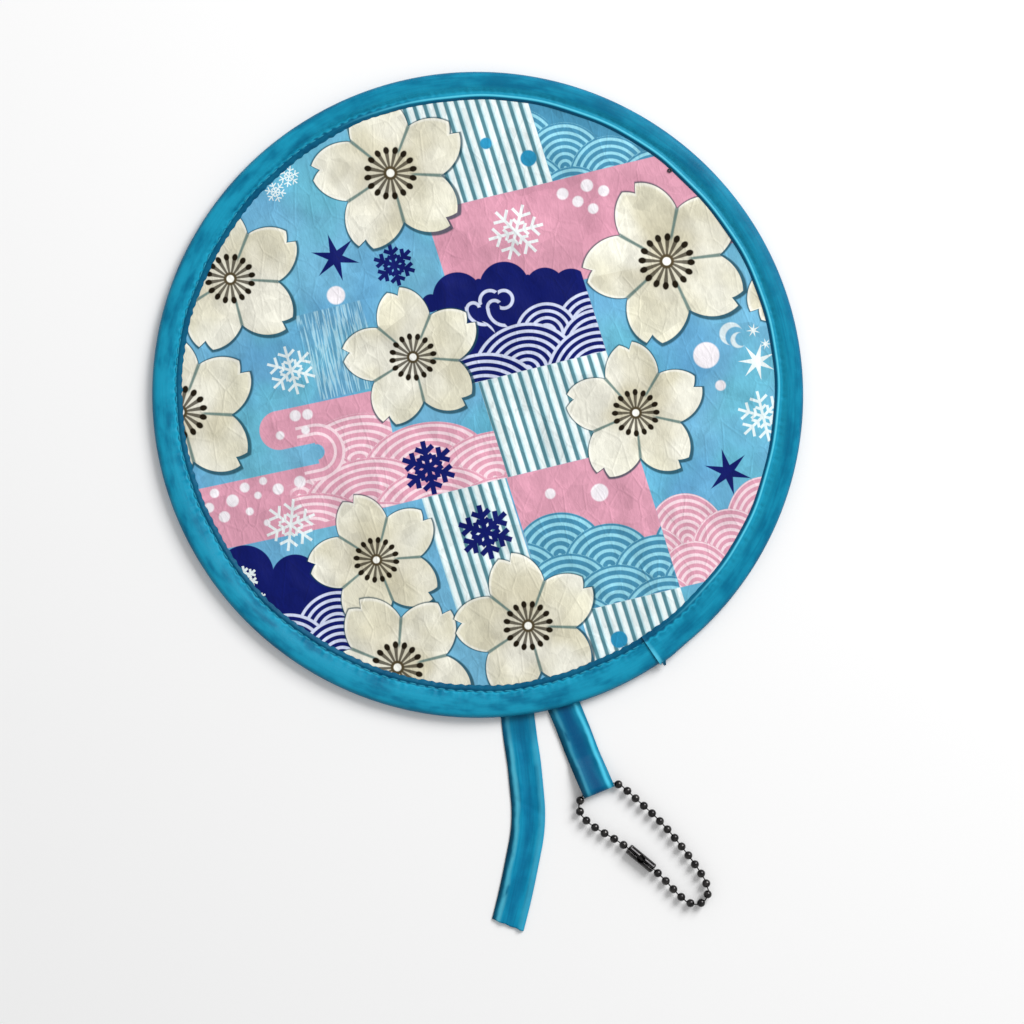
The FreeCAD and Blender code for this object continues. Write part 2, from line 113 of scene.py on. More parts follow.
class Field:
    """A number at each point of a surface, worked out by math nodes."""

    def __init__(self, tree: Tree, socket: Socket) -> None:
        """Keeps the node tree and the socket that gives the number."""
        self.tree = tree
        self.socket = socket

    def math(self, operation: str, *others: Number) -> "Field":
        """Adds one math node.

        Args:
            operation: The node's operation.
            others: Its second and third inputs, numbers or fields.

        Returns:
            The node's result.
        """
        node = self.tree.nodes.new("ShaderNodeMath")
        node.operation = operation
        for place, value in enumerate((self, *others)):
            if isinstance(value, Field):
                self.tree.links.new(value.socket, node.inputs[place])
            else:
                node.inputs[place].default_value = value
        return Field(self.tree, node.outputs[0])

    def __add__(self, other: Number) -> "Field":
        """Adds a number or a field."""
        return self.math("ADD", other)

    def __sub__(self, other: Number) -> "Field":
        """Takes away a number or a field."""
        return self.math("SUBTRACT", other)

    def __rsub__(self, other: float) -> "Field":
        """Takes the field away from a number."""
        return self.math("MULTIPLY_ADD", -1.0, other)

    def __mul__(self, other: Number) -> "Field":
        """Multiplies by a number or a field."""
        return self.math("MULTIPLY", other)

    def __truediv__(self, other: Number) -> "Field":
        """Divides by a number or a field."""
        return self.math("DIVIDE", other)

    def __abs__(self) -> "Field":
        """Gives the size without its sign."""
        return self.math("ABSOLUTE")

    def both(self, other: Number) -> "Field":
        """Gives the lesser of two: the depth in both of two shapes."""
        return self.math("MINIMUM", other)

    def either(self, other: Number) -> "Field":
        """Gives the greater of two: the depth in either of two shapes."""
        return self.math("MAXIMUM", other)

    def length(self, other: "Field") -> "Field":
        """Gives the length of the vector of two fields."""
        return (self * self + other * other).math("SQRT")

    def fraction(self) -> "Field":
        """Gives the part after the whole number."""
        return self.math("FRACT")

    def cover(self, soft: float = INK_EDGE) -> "Field":
        """Turns a depth into a cover, from 0 outside to 1 inside.

        Args:
            soft: The width of the edge between them.

        Returns:
            The cover.
        """
        node = self.tree.nodes.new("ShaderNodeMapRange")
        node.interpolation_type = "SMOOTHSTEP"
        self.tree.links.new(self.socket, node.inputs["Value"])
        node.inputs["From Min"].default_value = -soft / 2
        node.inputs["From Max"].default_value = soft / 2
        return Field(self.tree, node.outputs["Result"])


@dataclass(frozen=True)
class Motif:
    """A motif of the print: its middle, its size from there to a tip, and its turn in degrees."""

    across: float
    up: float
    size: float
    turn: float = 0.0


class MotifGroup:
    """A node group that draws one motif about its own middle."""

    name = "motif"
    outputs: tuple[str, ...] = ()
    inputs = ("X", "Y", "Across", "Up", "Size", "Turn")

    def __init__(self) -> None:
        """Makes the group's tree and draws the motif in it."""
        self.tree = bpy.data.node_groups.new(self.name, "ShaderNodeTree")
        for name in self.inputs:
            self.tree.interface.new_socket(name, in_out="INPUT", socket_type="NodeSocketFloat")
        for name in self.outputs:
            self.tree.interface.new_socket(name, in_out="OUTPUT", socket_type="NodeSocketFloat")
        entry = self.tree.nodes.new("NodeGroupInput")
        self.given = {name: Field(self.tree, entry.outputs[name]) for name in self.inputs}
        self.across = (self.given["X"] - self.given["Across"]) / self.given["Size"]
        self.up = (self.given["Y"] - self.given["Up"]) / self.given["Size"]
        leave = self.tree.nodes.new("NodeGroupOutput")
        for name, result in zip(self.outputs, self.draw()):
            self.tree.links.new(result.socket, leave.inputs[name])

    def draw(self) -> Sequence[Field]:
        """Draws the motif, and gives one field for each of the group's outputs."""
        raise NotImplementedError

    def polar(self) -> tuple[Field, Field]:
        """Gives the distance from the middle, and the angle from the motif's turn."""
        angle = self.up.math("ARCTAN2", self.across) - self.given["Turn"]
        return self.across.length(self.up), angle

    def folded(self, radius: Field, angle: Field, arms: int) -> tuple[Field, Field]:
        """Folds all arms of a motif onto half of one, and gives distances along it and aside from it."""
        off = abs((angle * (arms / math.tau) + 0.5).fraction() - 0.5) * (math.tau / arms)
        return radius * off.math("COSINE"), radius * off.math("SINE")

    def place(self, x: Field, y: Field, motif: Motif) -> list[Field]:
        """Puts the motif at its place on the print.

        Args:
            x: The print's X.
            y: The print's Y.
            motif: The place, size and turn.

        Returns:
            The group's outputs, in order.
        """
        node = x.tree.nodes.new("ShaderNodeGroup")
        node.node_tree = self.tree
        x.tree.links.new(x.socket, node.inputs["X"])
        x.tree.links.new(y.socket, node.inputs["Y"])
        node.inputs["Across"].default_value = motif.across
        node.inputs["Up"].default_value = motif.up
        node.inputs["Size"].default_value = motif.size
        node.inputs["Turn"].default_value = math.radians(motif.turn)
        return [Field(x.tree, node.outputs[name]) for name in self.outputs]


class BlossomGroup(MotifGroup):
    """A cherry blossom with five notched petals and a ring of stamens."""

    name = "cherry_blossom"
    outputs = ("Shadow", "Petals", "Light edge", "Tone", "Groove", "Filaments", "Heads", "Hub", "Heart")
    petals = 5
    stamens = 16
    valley = 0.645
    petal_rise = 0.385
    notch_depth = 0.12
    stamen_reach = 0.3
    petal_curve = 1.65
    notch_slopes = (9.0, -26.0)
    shadow_lean = (0.545, -0.839)
    shadow_reach, outline = 0.04, 0.022
    light_rim = 0.035
    filament_start = 0.075
    head_length, head_width = 0.047, 0.038
    hub_radius, hub_half = 0.069, 0.021
    heart_radius = 0.05

    def draw(self) -> Sequence[Field]:
        """Draws the blossom.

        Returns:
            One field for each of the group's outputs.
        """
        radius, angle = self.polar()
        share = angle * (self.petals / math.tau) + 0.5
        sector = share.fraction() - 0.5
        spread = abs(sector) * 2
        edge = (1 - spread.math("POWER", self.petal_curve)) * self.petal_rise + self.valley
        notch = 1 - (sector * self.notch_slopes[0]).either(sector * self.notch_slopes[1])
        depth = edge - notch.either(0.0) * self.notch_depth - radius
        lean = self.across * self.shadow_lean[0] + self.up * self.shadow_lean[1]
        lean = lean / radius.either(0.01)
        shadow = (depth + lean.either(0.0) * self.shadow_reach + self.outline).cover(0.03)
        petals = depth.cover(0.014)
        light_edge = (self.light_rim - depth).cover(0.05) * (0.4 - lean).cover(0.8)
        number = share.math("FLOOR")
        chance = ((number * 2.4 + self.given["Turn"] * 5.0).math("SINE") * 43.7).fraction()
        tone = (0.62 - radius).cover(0.7) * 0.6 + (chance - 0.35).cover(0.6) * 0.4
        gap = (0.5 - abs(sector)) * radius * (math.tau / self.petals)
        groove = (radius * 0.017 + 0.011 - gap).cover(0.022) * (radius - 0.28).cover(0.1)
        ray = ((angle * (self.stamens / math.tau) + 0.5).fraction() - 0.5) * (math.tau / self.stamens)
        aside = ray * radius
        held = (self.stamen_reach - radius).both(radius - self.filament_start)
        filaments = (radius * 0.07 + 0.008 - abs(aside)).both(held).cover(0.012)
        beyond = (radius - self.stamen_reach) / self.head_length
        heads = (1 - beyond.length(aside / self.head_width)).cover(0.4)
        hub = (self.hub_half - abs(radius - self.hub_radius)).cover(0.024)
        heart = (self.heart_radius - radius).cover(0.016)
        return shadow, petals, light_edge, tone, groove, filaments, heads, hub, heart


class SnowflakeGroup(MotifGroup):
    """A six-armed snow crystal with two pairs of branches on each arm."""

    name = "snow_crystal"
    outputs = ("Fine", "Bold")
    arms = 6
    fine = ((0.3, 0.2), (0.6, 0.36))
    bold = ((0.34, 0.2), (0.62, 0.32))
    fine_half, bold_half = 0.056, 0.105
    slant = math.radians(58)
    soft = 0.03

    def draw(self) -> Sequence[Field]:
        """Draws the crystal.

        Returns:
            One field for each of the group's outputs.
        """
        along, aside = self.folded(*self.polar(), self.arms)
        crystals = []
        for branches, half_width in ((self.fine, self.fine_half), (self.bold, self.bold_half)):
            line = (0 - aside).both(1 - along)
            for start, reach in branches:
                ahead = along - start
                run = ahead * math.cos(self.slant) + aside * math.sin(self.slant)
                off = abs(ahead * math.sin(self.slant) - aside * math.cos(self.slant))
                line = line.either((0 - off).both(reach - run))
            crystals.append((line + half_width).cover(self.soft))
        return crystals


class StarGroup(MotifGroup):
    """A star with thin straight points, six or seven of them."""

    name = "thin_star"
    outputs = ("Six", "Seven")
    points = (6, 7)
    waist = 0.3
    soft = 0.03

    def draw(self) -> Sequence[Field]:
        """Draws the star.

        Returns:
            One field for each of the group's outputs.
        """
        radius, angle = self.polar()
        stars = []
        for points in self.points:
            half = math.pi / points
            along, aside = self.folded(radius, angle, points)
            inner = (self.waist * math.cos(half), self.waist * math.sin(half))
            slope = inner[1] / (1 - inner[0])
            stars.append(((1 - along) * slope - aside).cover(self.soft))
        return stars


class WaveGroup(MotifGroup):
    """Rows of overlapping arcs, each row half hidden by the one below it."""

    name = "wave_rows"
    outputs = ("Cover", "Ring")
    inputs = ("X", "Y", "Across", "Up", "Size", "Turn", "Stretch", "Top")

    def draw(self) -> Sequence[Field]:
        """Draws the arcs.

        Returns:
            One field for each of the group's outputs.
        """
        side = self.across / self.given["Stretch"]
        first = (self.up * 2).math("FLOOR")
        cover, ring = None, None
        for step in (1, 0, -1):
            row = first + step
            shift = (row * 0.5).fraction() * 2
            aside = ((side - shift + 1) * 0.5).fraction() * 2 - 1
            distance = aside.length(self.up - row * 0.5)
            inside = (1 - distance).both(self.given["Top"] - row + 0.5).cover(0.02)
            if cover is None:
                cover, ring = inside, distance
            else:
                cover = cover.either(inside)
                ring = ring + (distance - ring) * inside
        return cover, ring

    def spread(self, x: Field, y: Field, motif: Motif, stretch: float, top: Number) -> list[Field]:
        """Puts the arcs on the print.

        Args:
            x: The print's X.
            y: The print's Y.
            motif: The middle of one arc and the arcs' radius.
            stretch: The arcs' width over their height.
            top: The highest row that is drawn, counted from that arc's row.

        Returns:
            The cover of the arcs and the distance in the arc on top, as a share of its radius.
        """
        results = self.place(x, y, motif)
        node = results[0].socket.node
        node.inputs["Stretch"].default_value = stretch
        if isinstance(top, Field):
            x.tree.links.new(top.socket, node.inputs["Top"])
        else:
            node.inputs["Top"].default_value = top
        return results


class Layers:
    """Colours laid one over another."""

    def __init__(self, tree: Tree, ground: Socket) -> None:
        """Starts from the ground's colour."""
        self.tree = tree
        self.colour = ground

    def lay(self, cover: Field, colour: Colour) -> None:
        """Lays a colour over the ones before it.

        Args:
            cover: Where it lies, from 0 to 1.
            colour: The linear colour.
        """
        node = self.tree.nodes.new("ShaderNodeMix")
        node.data_type = "RGBA"
        self.tree.links.new(cover.socket, node.inputs[0])
        self.tree.links.new(self.colour, node.inputs[6])
        node.inputs[7].default_value = (*colour, 1.0)
        self.colour = node.outputs[2]

    def shade(self, factor: Field) -> None:
        """Makes the colours so far lighter or darker.

        Args:
            factor: The factor on them, about 1.
        """
        node = self.tree.nodes.new("ShaderNodeVectorMath")
        node.operation = "SCALE"
        self.tree.links.new(self.colour, node.inputs[0])
        self.tree.links.new(factor.socket, node.inputs["Scale"])
        self.colour = node.outputs[0]


def add_bump(tree: Tree, height: Field, depth: float, shader: Node) -> None:
    """Gives a shader a bump.

    Args:
        tree: The material's nodes.
        height: The height, from 0 to 1.
        depth: The depth of that range, in millimetres.
        shader: The shader.
    """
    bump = tree.nodes.new("ShaderNodeBump")
    bump.inputs["Distance"].default_value = depth * MM
    tree.links.new(height.socket, bump.inputs["Height"])
    tree.links.new(bump.outputs[0], shader.inputs["Normal"])


def add_noise(
    tree: Tree, source: Socket, scale: float, stretch: Triple = EVEN, detail: float = 3.0
) -> Field:
    """Adds a noise.

    Args:
        tree: The material's nodes.
        source: The place on the surface.
        scale: Grains in one unit of the place.
        stretch: Factors on its three directions.
        detail: Finer octaves.

    Returns:
        The noise, from 0 to 1.
    """
    scaled = tree.nodes.new("ShaderNodeMapping")
    scaled.inputs["Scale"].default_value = stretch
    tree.links.new(source, scaled.inputs["Vector"])
    node = tree.nodes.new("ShaderNodeTexNoise")
    node.inputs["Scale"].default_value = scale
    node.inputs["Detail"].default_value = detail
    tree.links.new(scaled.outputs[0], node.inputs["Vector"])
    return Field(tree, node.outputs[0])


def start_layers(tree: Tree, colour: Colour) -> Layers:
    """Starts layers of colour from a plain ground.

    Args:
        tree: The material's nodes.
        colour: The ground's colour.

    Returns:
        The layers.
    """
    ground = tree.nodes.new("ShaderNodeRGB")
    ground.outputs[0].default_value = (*colour, 1.0)
    return Layers(tree, ground.outputs[0])


def surface_place(tree: Tree) -> Socket:
    """Gives the place on the surface, in metres."""
    return tree.nodes.new("ShaderNodeTexCoord").outputs["Object"]


def dress(shader: Node, layers: Layers, roughness: Field) -> None:
    """Gives a shader its colour and its roughness."""
    layers.tree.links.new(layers.colour, shader.inputs["Base Color"])
    layers.tree.links.new(roughness.socket, shader.inputs["Roughness"])


@dataclass(frozen=True)
class WaveRows:
    """Rows of wave arcs: one arc's place and height, its half width, its lines and their share."""

    arc: Motif
    half_width: float
    lines: float
    share: float


class FanPrint:
    """The print of the panel: patches of stripes, wave rows and mist, with blossoms and crystals."""

    sky, deep_sky, green_sky = screen(116, 182, 214), screen(90, 156, 200), screen(100, 186, 204)
    pink, deep_pink, pale_pink = screen(219, 157, 177), screen(204, 139, 161), screen(242, 215, 223)
    navy, pale_navy = screen(10, 22, 100), screen(208, 216, 240)
    white, stripe, fringe = screen(234, 245, 245), screen(84, 134, 146), screen(178, 222, 232)
    wave_blue, pale_wave = screen(70, 140, 173), screen(148, 212, 229)
    cream, tan, petal_light = screen(228, 225, 203), screen(203, 197, 172), screen(248, 248, 240)
    dot_white = screen(243, 238, 243)
    groove, shadow = screen(92, 122, 118), screen(28, 70, 84)
    filament, hub, stamen_head = screen(48, 38, 20), screen(80, 69, 46), screen(28, 20, 6)
    teal = screen(40, 142, 184)
    streak, light_streak, dark_streak = screen(136, 190, 214), screen(186, 222, 232), screen(74, 134, 170)

    lean = 0.095
    rise = 0.03
    stripe_pitch, stripe_start = 3.15, 0.45
    line_edge, wave_edge, curl_edge = 0.14, 0.25, 0.25
    streak_stretch = (1.0, 0.045, 1.0)
    seam_left, seam_right, far_right = 1.4, 42.0, 200.0
    far_up, top_seam, navy_seam, middle_seam, low_seam, far_down = 120.0, 58.6, 4.0, -26.7, -72.2, -120.0
    streak_patch: Edges = (-46.5, -26.0, 10.0, 37.0)
    top_stripes: Edges = (-14.0, seam_right, top_seam, far_up)
    top_corner: Edges = (seam_right, far_right, top_seam, far_up)
    pink_band: Edges = (seam_left, far_right, 27.0, top_seam)
    navy_block: Edges = (-9.0, seam_right, navy_seam, 27.5)
    middle_stripes: Edges = (seam_left, seam_right, middle_seam, navy_seam)
    low_stripes: Edges = (-26.0, 0.4, -66.0, middle_seam)
    low_block: Edges = (seam_left - 0.5, seam_right, low_seam, middle_seam)
    rosy_block: Edges = (seam_right, far_right, low_seam, 0.0)
    foot_stripes: Edges = (10.0, seam_right, far_down, low_seam)
    top_waves = WaveRows(Motif(41.0, 63.0, 14.0), 13.0, 6.5, 0.42)
    top_steps = (41.0, 54.0)
    mist_waves = WaveRows(Motif(-20.0, -18.6, 14.0), 20.0, 6.5, 0.4)
    mist_step = -28.0
    low_waves = WaveRows(Motif(14.6, -53.2, 13.0), 14.2, 5.5, 0.42)
    low_step = 29.0
    rosy_waves = WaveRows(Motif(54.0, -57.5, 15.0), 12.5, 7.0, 0.45)
    slot, slot_half, slot_room = (-52.0, -6.7), 2.4, 8.2
    swirl_radii, swirl_half = (7.0, 1.3), 0.45
    swirl_left, swirl_top = -57.0, 8.0
    lobe, lobe_length, lobe_half = (-47.5, 2.2), 14.5, 6.0
    band_low, band_high, band_right = -30.0, -10.3, -45.0
    neck_low, neck_high, neck_right = -24.0, 6.0, -30.0
    rows_left, lines_left = -66.0, -62.0
    hill_top, hill_right = -43.0, -50.0
    # Sizes of the painted crinkle shading: its crease lines and its facet cells.
    crease_stretch, crease_turn, crease_half = 0.6, 0.35, 0.03
    coarse, fine = 150.0, 330.0
    facets = ((95.0, 0.2), (240.0, 0.16))

    blossoms = (
        Motif(-90.5, 14.0, 24.0, 21.0), Motif(-67.0, 51.0, 22.5, 20.5), Motif(-12.0, 72.5, 23.8, 21.5),
        Motif(107.6, 18.2, 22.0, 66.0), Motif(65.5, 28.3, 25.2, 31.0), Motif(-17.0, 15.7, 21.3, 20.0),
        Motif(46.5, -15.3, 21.3, 12.0), Motif(-41.0, -43.0, 20.5, 28.0), Motif(-41.5, -76.7, 23.3, 38.0),
        Motif(0.5, -72.5, 22.3, 22.0),
    )
    white_crystals = (
        Motif(22.0, 46.8, 8.2, 4.0), Motif(-54.5, 19.5, 7.2, 94.0), Motif(-64.5, -27.0, 7.6, 12.0),
        Motif(84.6, -24.5, 7.5, 92.0), Motif(-47.8, 74.2, 3.1, 40.0), Motif(-42.8, 78.0, 3.1, 10.0),
    )
    lip_crystals = (Motif(-81.6, -40.3, 3.6, 30.0), Motif(-79.3, -47.2, 2.6, 80.0))
    navy_crystals = (
        Motif(-16.7, 44.6, 5.9, 92.0), Motif(-19.4, -18.6, 7.6, 91.0), Motif(-6.4, -41.6, 7.7, 92.0),
    )
    navy_stars = (Motif(-34.0, 50.6, 7.6, 36.0), Motif(70.4, -39.0, 7.4, 33.0))
    white_stars = (
        Motif(86.3, -7.6, 5.8, 168.0), Motif(87.1, 2.0, 2.2, 20.0), Motif(90.0, -2.9, 1.8, 40.0),
    )
    white_dots = (
        (-36.2, 39.2, 2.8), (71.4, -2.5, 4.0), (73.8, -12.5, 1.6), (30.5, -37.0, 2.7), (15.6, -34.2, 1.6),
        (38.5, 55.3, 1.8), (46.3, 56.2, 1.9), (42.6, 52.0, 1.7), (51.0, 53.5, 1.7), (46.7, 48.8, 1.6),
        (-56.2, 5.6, 1.7), (-52.4, 5.2, 1.6), (-62.0, 0.6, 1.3), (-54.0, 0.6, 1.3), (-85.5, -12.6, 1.4),
        (-76.0, -12.8, 1.5), (-70.0, -12.0, 1.2), (-66.0, -15.4, 1.7), (-72.5, -16.0, 1.1),
        (-80.5, -16.0, 1.9), (-88.0, -16.6, 1.5), (-84.0, -20.3, 1.7), (-76.0, -20.3, 1.2),
        (-59.0, -14.6, 1.8), (-71.5, -24.8, 1.0),
    )
    teal_dots = ((30.5, 68.2, 2.5), (18.6, 75.4, 1.8), (27.0, -82.5, 2.6))
    navy_heaps = (
        (39.0, 13.2, 11.2, 1.0), (24.8, 14.1, 9.7, 1.0), (39.3, 6.6, 12.0, 1.0),
        (16.4, 4.4, 14.6, 1.13), (38.2, -2.9, 16.9, 1.0), (1.0, -3.4, 16.1, 1.2),
    )
    low_heaps = ((-57.0, -62.7, 13.0, 1.0), (-73.3, -67.0, 13.7, 1.0), (-57.6, -71.3, 13.3, 1.0))
    heap_pitch = 2.16
    curl_half = 0.5
    navy_puffs = (
        (0.3, 30.9, 7.7), (7.6, 28.2, 2.0), (15.0, 31.1, 7.7), (27.2, 28.3, 6.1), (35.0, 26.6, 5.8),
        (7.5, 33.9, 1.3), (22.6, 32.2, 1.1), (-8.2, 30.8, 2.8),
    )
    low_puffs = ((-81.4, -38.8, 8.8), (-66.6, -43.4, 7.4))
    curls = (
        (9.8, 27.8, 3.1, 118.0, 75.0), (14.0, 27.3, 2.75, -4.5, 122.5), (10.7, 25.5, 2.1, 110.0, 78.0),
        (13.9, 24.5, 5.3, 213.0, 49.0), (4.2, 26.3, 1.95, 93.0, 88.0), (7.7, 26.3, 5.5, 218.0, 45.0),
        (4.0, 17.2, 4.8, 36.0, 17.0),
    )
    moons = ((80.2, 2.4, 3.5, 1.2, -1.3), (82.0, 0.0, 2.4, 1.2, 0.1))

    def __init__(self, tree: Tree) -> None:
        """Sets up the print's own directions and its ground.

        Args:
            tree: The node tree that the print is drawn in.
        """
        self.tree = tree
        self.layers = start_layers(tree, self.sky)
        self.position = surface_place(tree)
        parts = tree.nodes.new("ShaderNodeSeparateXYZ")
        tree.links.new(self.position, parts.inputs[0])
        self.x = Field(tree, parts.outputs[0]) * (1 / MM)
        self.y = Field(tree, parts.outputs[1]) * (1 / MM)
        self.across = self.x + self.y * self.lean
        self.up = self.y - self.x * self.rise

    def lay(self, cover: Field, colour: Colour) -> None:
        """Lays a colour of the print over the ones before it."""
        self.layers.lay(cover, colour)

    def noise(self, scale: float, detail: float = 2.0, stretch: Triple = EVEN) -> Field:
        """Gives a noise over the cloth, of so many grains in a metre."""
        return add_noise(self.tree, self.position, scale, stretch, detail)

    def patch(self, edges: Edges) -> Field:
        """Gives the depth in a leaning rectangle.

        Args:
            edges: Its left, right, lower and upper edge.

        Returns:
            The depth, positive inside.
        """
        left, right, low, high = edges
        sides = (self.across - left).both(right - self.across)
        return sides.both((self.up - low).both(high - self.up))

    def disc(self, across: float, up: float, radius: float) -> Field:
        """Gives the depth in a disc, positive inside."""
        return radius - (self.x - across).length(self.y - up)

    def discs(self, places: Sequence[Triple]) -> Field:
        """Gives the depth in any of several discs.

        Args:
            places: Each disc's middle and radius.

        Returns:
            The depth, positive inside.
        """
        depth = self.disc(*places[0])
        for place in places[1:]:
            depth = depth.either(self.disc(*place))
        return depth

    def waves(self, rows: WaveRows, top: Number) -> tuple[Field, Field]:
        """Gives rows of wave arcs.

        Args:
            rows: The rows.
            top: The highest row that is drawn, counted from the given arc's row.

        Returns:
            The cover of the arcs and the cover of the lines in them.
        """
        cover, ring = WAVES.spread(self.x, self.y, rows.arc, rows.half_width / rows.arc.size, top)
        wave = abs((ring * rows.lines).fraction() - 0.5)
        return cover, (wave - (0.5 - rows.share / 2)).cover(self.line_edge)

    def draw(self) -> Socket:
        """Draws the whole print.

        Returns:
            The socket with its colour.
        """
        self.lay((self.noise(26.0, 3.0) - 0.52).cover(0.3) * 0.8, self.deep_sky)
        self.lay((self.noise(34.0) - 0.55).cover(0.2) * 0.6, self.green_sky)
        self.lay_streaks()
        self.lay_top()
        self.lay_middle()
        self.lay_mist()
        self.lay_low()
        self.lay_motifs()
        self.lay_blossoms()
        # Painted shade and highlight of the crinkles, over the whole print.
        self.paint_crinkle_shading()
        return self.layers.colour

    def lay_streaks(self) -> None:
        """Lays the faint upright streaks beside the middle blossom."""
        streaks = self.noise(2100.0, 0.5, self.streak_stretch)
        patch = self.patch(self.streak_patch).cover(0.6)
        self.lay(patch * 0.35, self.streak)
        self.lay(patch * (streaks - 0.54).cover(0.1) * 0.55, self.light_streak)
        self.lay(patch * (0.46 - streaks).cover(0.1) * 0.55, self.dark_streak)

    def lay_stripes(self, edges: Edges) -> None:
        """Lays white and teal stripes on a leaning rectangle.

        Args:
            edges: Its left, right, lower and upper edge.
        """
        cover = self.patch(edges).cover()
        place = (self.across / self.stripe_pitch + self.stripe_start).fraction()
        self.lay(cover, self.white)
        self.lay(cover * (0.34 - place).cover(0.2) * 0.8, self.fringe)
        self.lay(cover * (abs(place - 0.5) - 0.31).cover(self.line_edge), self.stripe)

    def lay_top(self) -> None:
        """Lays the stripes, the waves and the pink band at the top."""
        self.lay_stripes(self.top_stripes)
        first, second = (self.x - step for step in self.top_steps)
        waves, lines = self.waves(self.top_waves, 1 - first.cover(STEP_EDGE) - second.cover(STEP_EDGE))
        corner = self.patch(self.top_corner).cover()
        self.lay(corner, self.wave_blue)
        self.lay(corner * waves * lines, self.pale_wave)
        band = self.patch(self.pink_band).cover()
        self.lay(band, self.pink)
        self.lay(band * (self.noise(38.0) - 0.5).cover(0.3) * 0.5, self.deep_pink)

    def lay_heaps(self, heaps: Sequence[tuple[float, ...]], within: Field) -> None:
        """Lays heaped waves of pale and navy lines, each over the one before it.

        Args:
            heaps: The place, the radius and the stretch of each heap.
            within: The depth in the patch that holds the waves.
        """
        for across, up, radius, stretch in heaps:
            depth = radius - ((self.x - across) / stretch).length(self.y - up)
            held = depth.both(within).cover(self.wave_edge)
            place = (depth / self.heap_pitch).fraction()
            self.lay(held, self.pale_navy)
            self.lay(held * (0.28 - abs(place - 0.7)).cover(0.1), self.navy)

    def lay_middle(self) -> None:
        """Lays the navy cloud with its waves and curls, and the stripes below it."""
        block = self.patch(self.navy_block)
        cloud = block.either(self.discs(self.navy_puffs).both(self.seam_right - self.across))
        self.lay(cloud.cover(), self.navy)
        self.lay_heaps(self.navy_heaps, block)
        for across, up, radius, middle, reach in self.curls:
            aim = math.radians(middle)
            side, rise = self.x - across, self.y - up
            off = abs(side.length(rise) - radius)
            ahead = side * math.cos(aim) + rise * math.sin(aim)
            held = ahead - radius * math.cos(math.radians(reach))
            self.lay((self.curl_half - off).both(held).cover(self.curl_edge), self.pale_navy)
        self.lay_stripes(self.middle_stripes)

    def lay_mist(self) -> None:
        """Lays the pink mist with its slot, its wave rows and the plain band on the left."""
        slot = (self.x - self.slot[0]).either(0.0).length(self.y - self.slot[1])
        past = (abs(self.x - self.lobe[0]) - self.lobe_length).either(0.0)
        lobe = self.lobe_half - past.length(self.y - self.lobe[1])
        band = (self.y - self.band_low).both(self.band_high - self.y).both(self.band_right - self.x)
        height = (self.y - self.neck_low).both(self.neck_high - self.y)
        neck = (self.x - self.slot[0]).both(self.neck_right - self.x).both(height)
        plain = lobe.either(band).either(neck).both(slot - self.slot_half)
        waves, lines = self.waves(self.mist_waves, (self.mist_step - self.x).cover(STEP_EDGE))
        held = (self.x - self.rows_left).both(slot - self.slot_room).both(self.seam_left - self.across)
        rows = waves * held.both(self.up - self.middle_seam).cover()
        self.lay(plain.cover(), self.pink)
        self.lay(rows, self.pink)
        self.lay(rows * (self.x - self.lines_left).cover(3.0) * lines, self.pale_pink)
        around = abs(slot - self.swirl_radii[0]) - self.swirl_radii[1]
        swirl = (self.swirl_half - abs(around)).both(self.x - self.swirl_left)
        self.lay(swirl.both(self.swirl_top - self.y).cover(), self.pale_pink)

    def lay_low(self) -> None:
        """Lays the patches of the lower half."""
        self.lay_stripes(self.low_stripes)
        low = self.patch(self.low_block).cover()
        self.lay(low, self.pink)
        waves, lines = self.waves(self.low_waves, 0 - (self.x - self.low_step).cover(STEP_EDGE))
        blue = waves * low
        self.lay(blue, self.wave_blue)
        self.lay(blue * lines, self.pale_wave)
        waves, lines = self.waves(self.rosy_waves, 0.0)
        rosy = waves * self.patch(self.rosy_block).cover()
        self.lay(rosy, self.pink)
        self.lay(rosy * lines, self.pale_pink)
        self.lay_stripes(self.foot_stripes)
        hill = self.discs(self.low_puffs).either((self.hill_top - self.y).both(self.hill_right - self.x))
        self.lay(hill.cover(), self.navy)
        self.lay_heaps(self.low_heaps, hill)

    def lay_motifs(self) -> None:
        """Lays the dots, moons, snow crystals and stars."""
        self.lay(self.discs(self.white_dots).cover(0.6), self.dot_white)
        self.lay(self.discs(self.teal_dots).cover(0.5), self.teal)
        for across, up, radius, aside, rise in self.moons:
            bite = self.disc(across + aside, up + rise, radius * 0.9)
            self.lay(self.disc(across, up, radius).both(0 - bite).cover(0.5) * 0.85, self.white)
        for motif in self.white_crystals:
            self.lay(SNOWFLAKES.place(self.x, self.y, motif)[0] * 0.9, self.white)
        for group, output, motifs, colour in (
            (SNOWFLAKES, 1, self.lip_crystals, self.white),
            (SNOWFLAKES, 1, self.navy_crystals, self.navy),
            (STARS, 0, self.navy_stars, self.navy),
            (STARS, 1, self.white_stars, self.white),
        ):
            for motif in motifs:
                self.lay(group.place(self.x, self.y, motif)[output], colour)

    def lay_blossoms(self) -> None:
        """Lays the blossoms, each over the one before it."""
        glow = (self.noise(42.0) - 0.53).cover(0.24) * 0.55
        for motif in self.blossoms:
            parts = BLOSSOMS.place(self.x, self.y, motif)
            shadow, petals, light, tone, groove, filaments, heads, hub, heart = parts
            for cover, colour in (
                (shadow * 0.85, self.shadow),
                (petals, self.cream),
                (petals * tone, self.tan),
                (petals * glow, self.petal_light),
                (petals * light * 0.6, self.petal_light),
                (petals * groove * 0.9, self.groove),
                (filaments * 0.85, self.filament),
                (heads, self.stamen_head),
                (hub, self.hub),
                (heart, self.petal_light),
            ):
                self.lay(cover, colour)

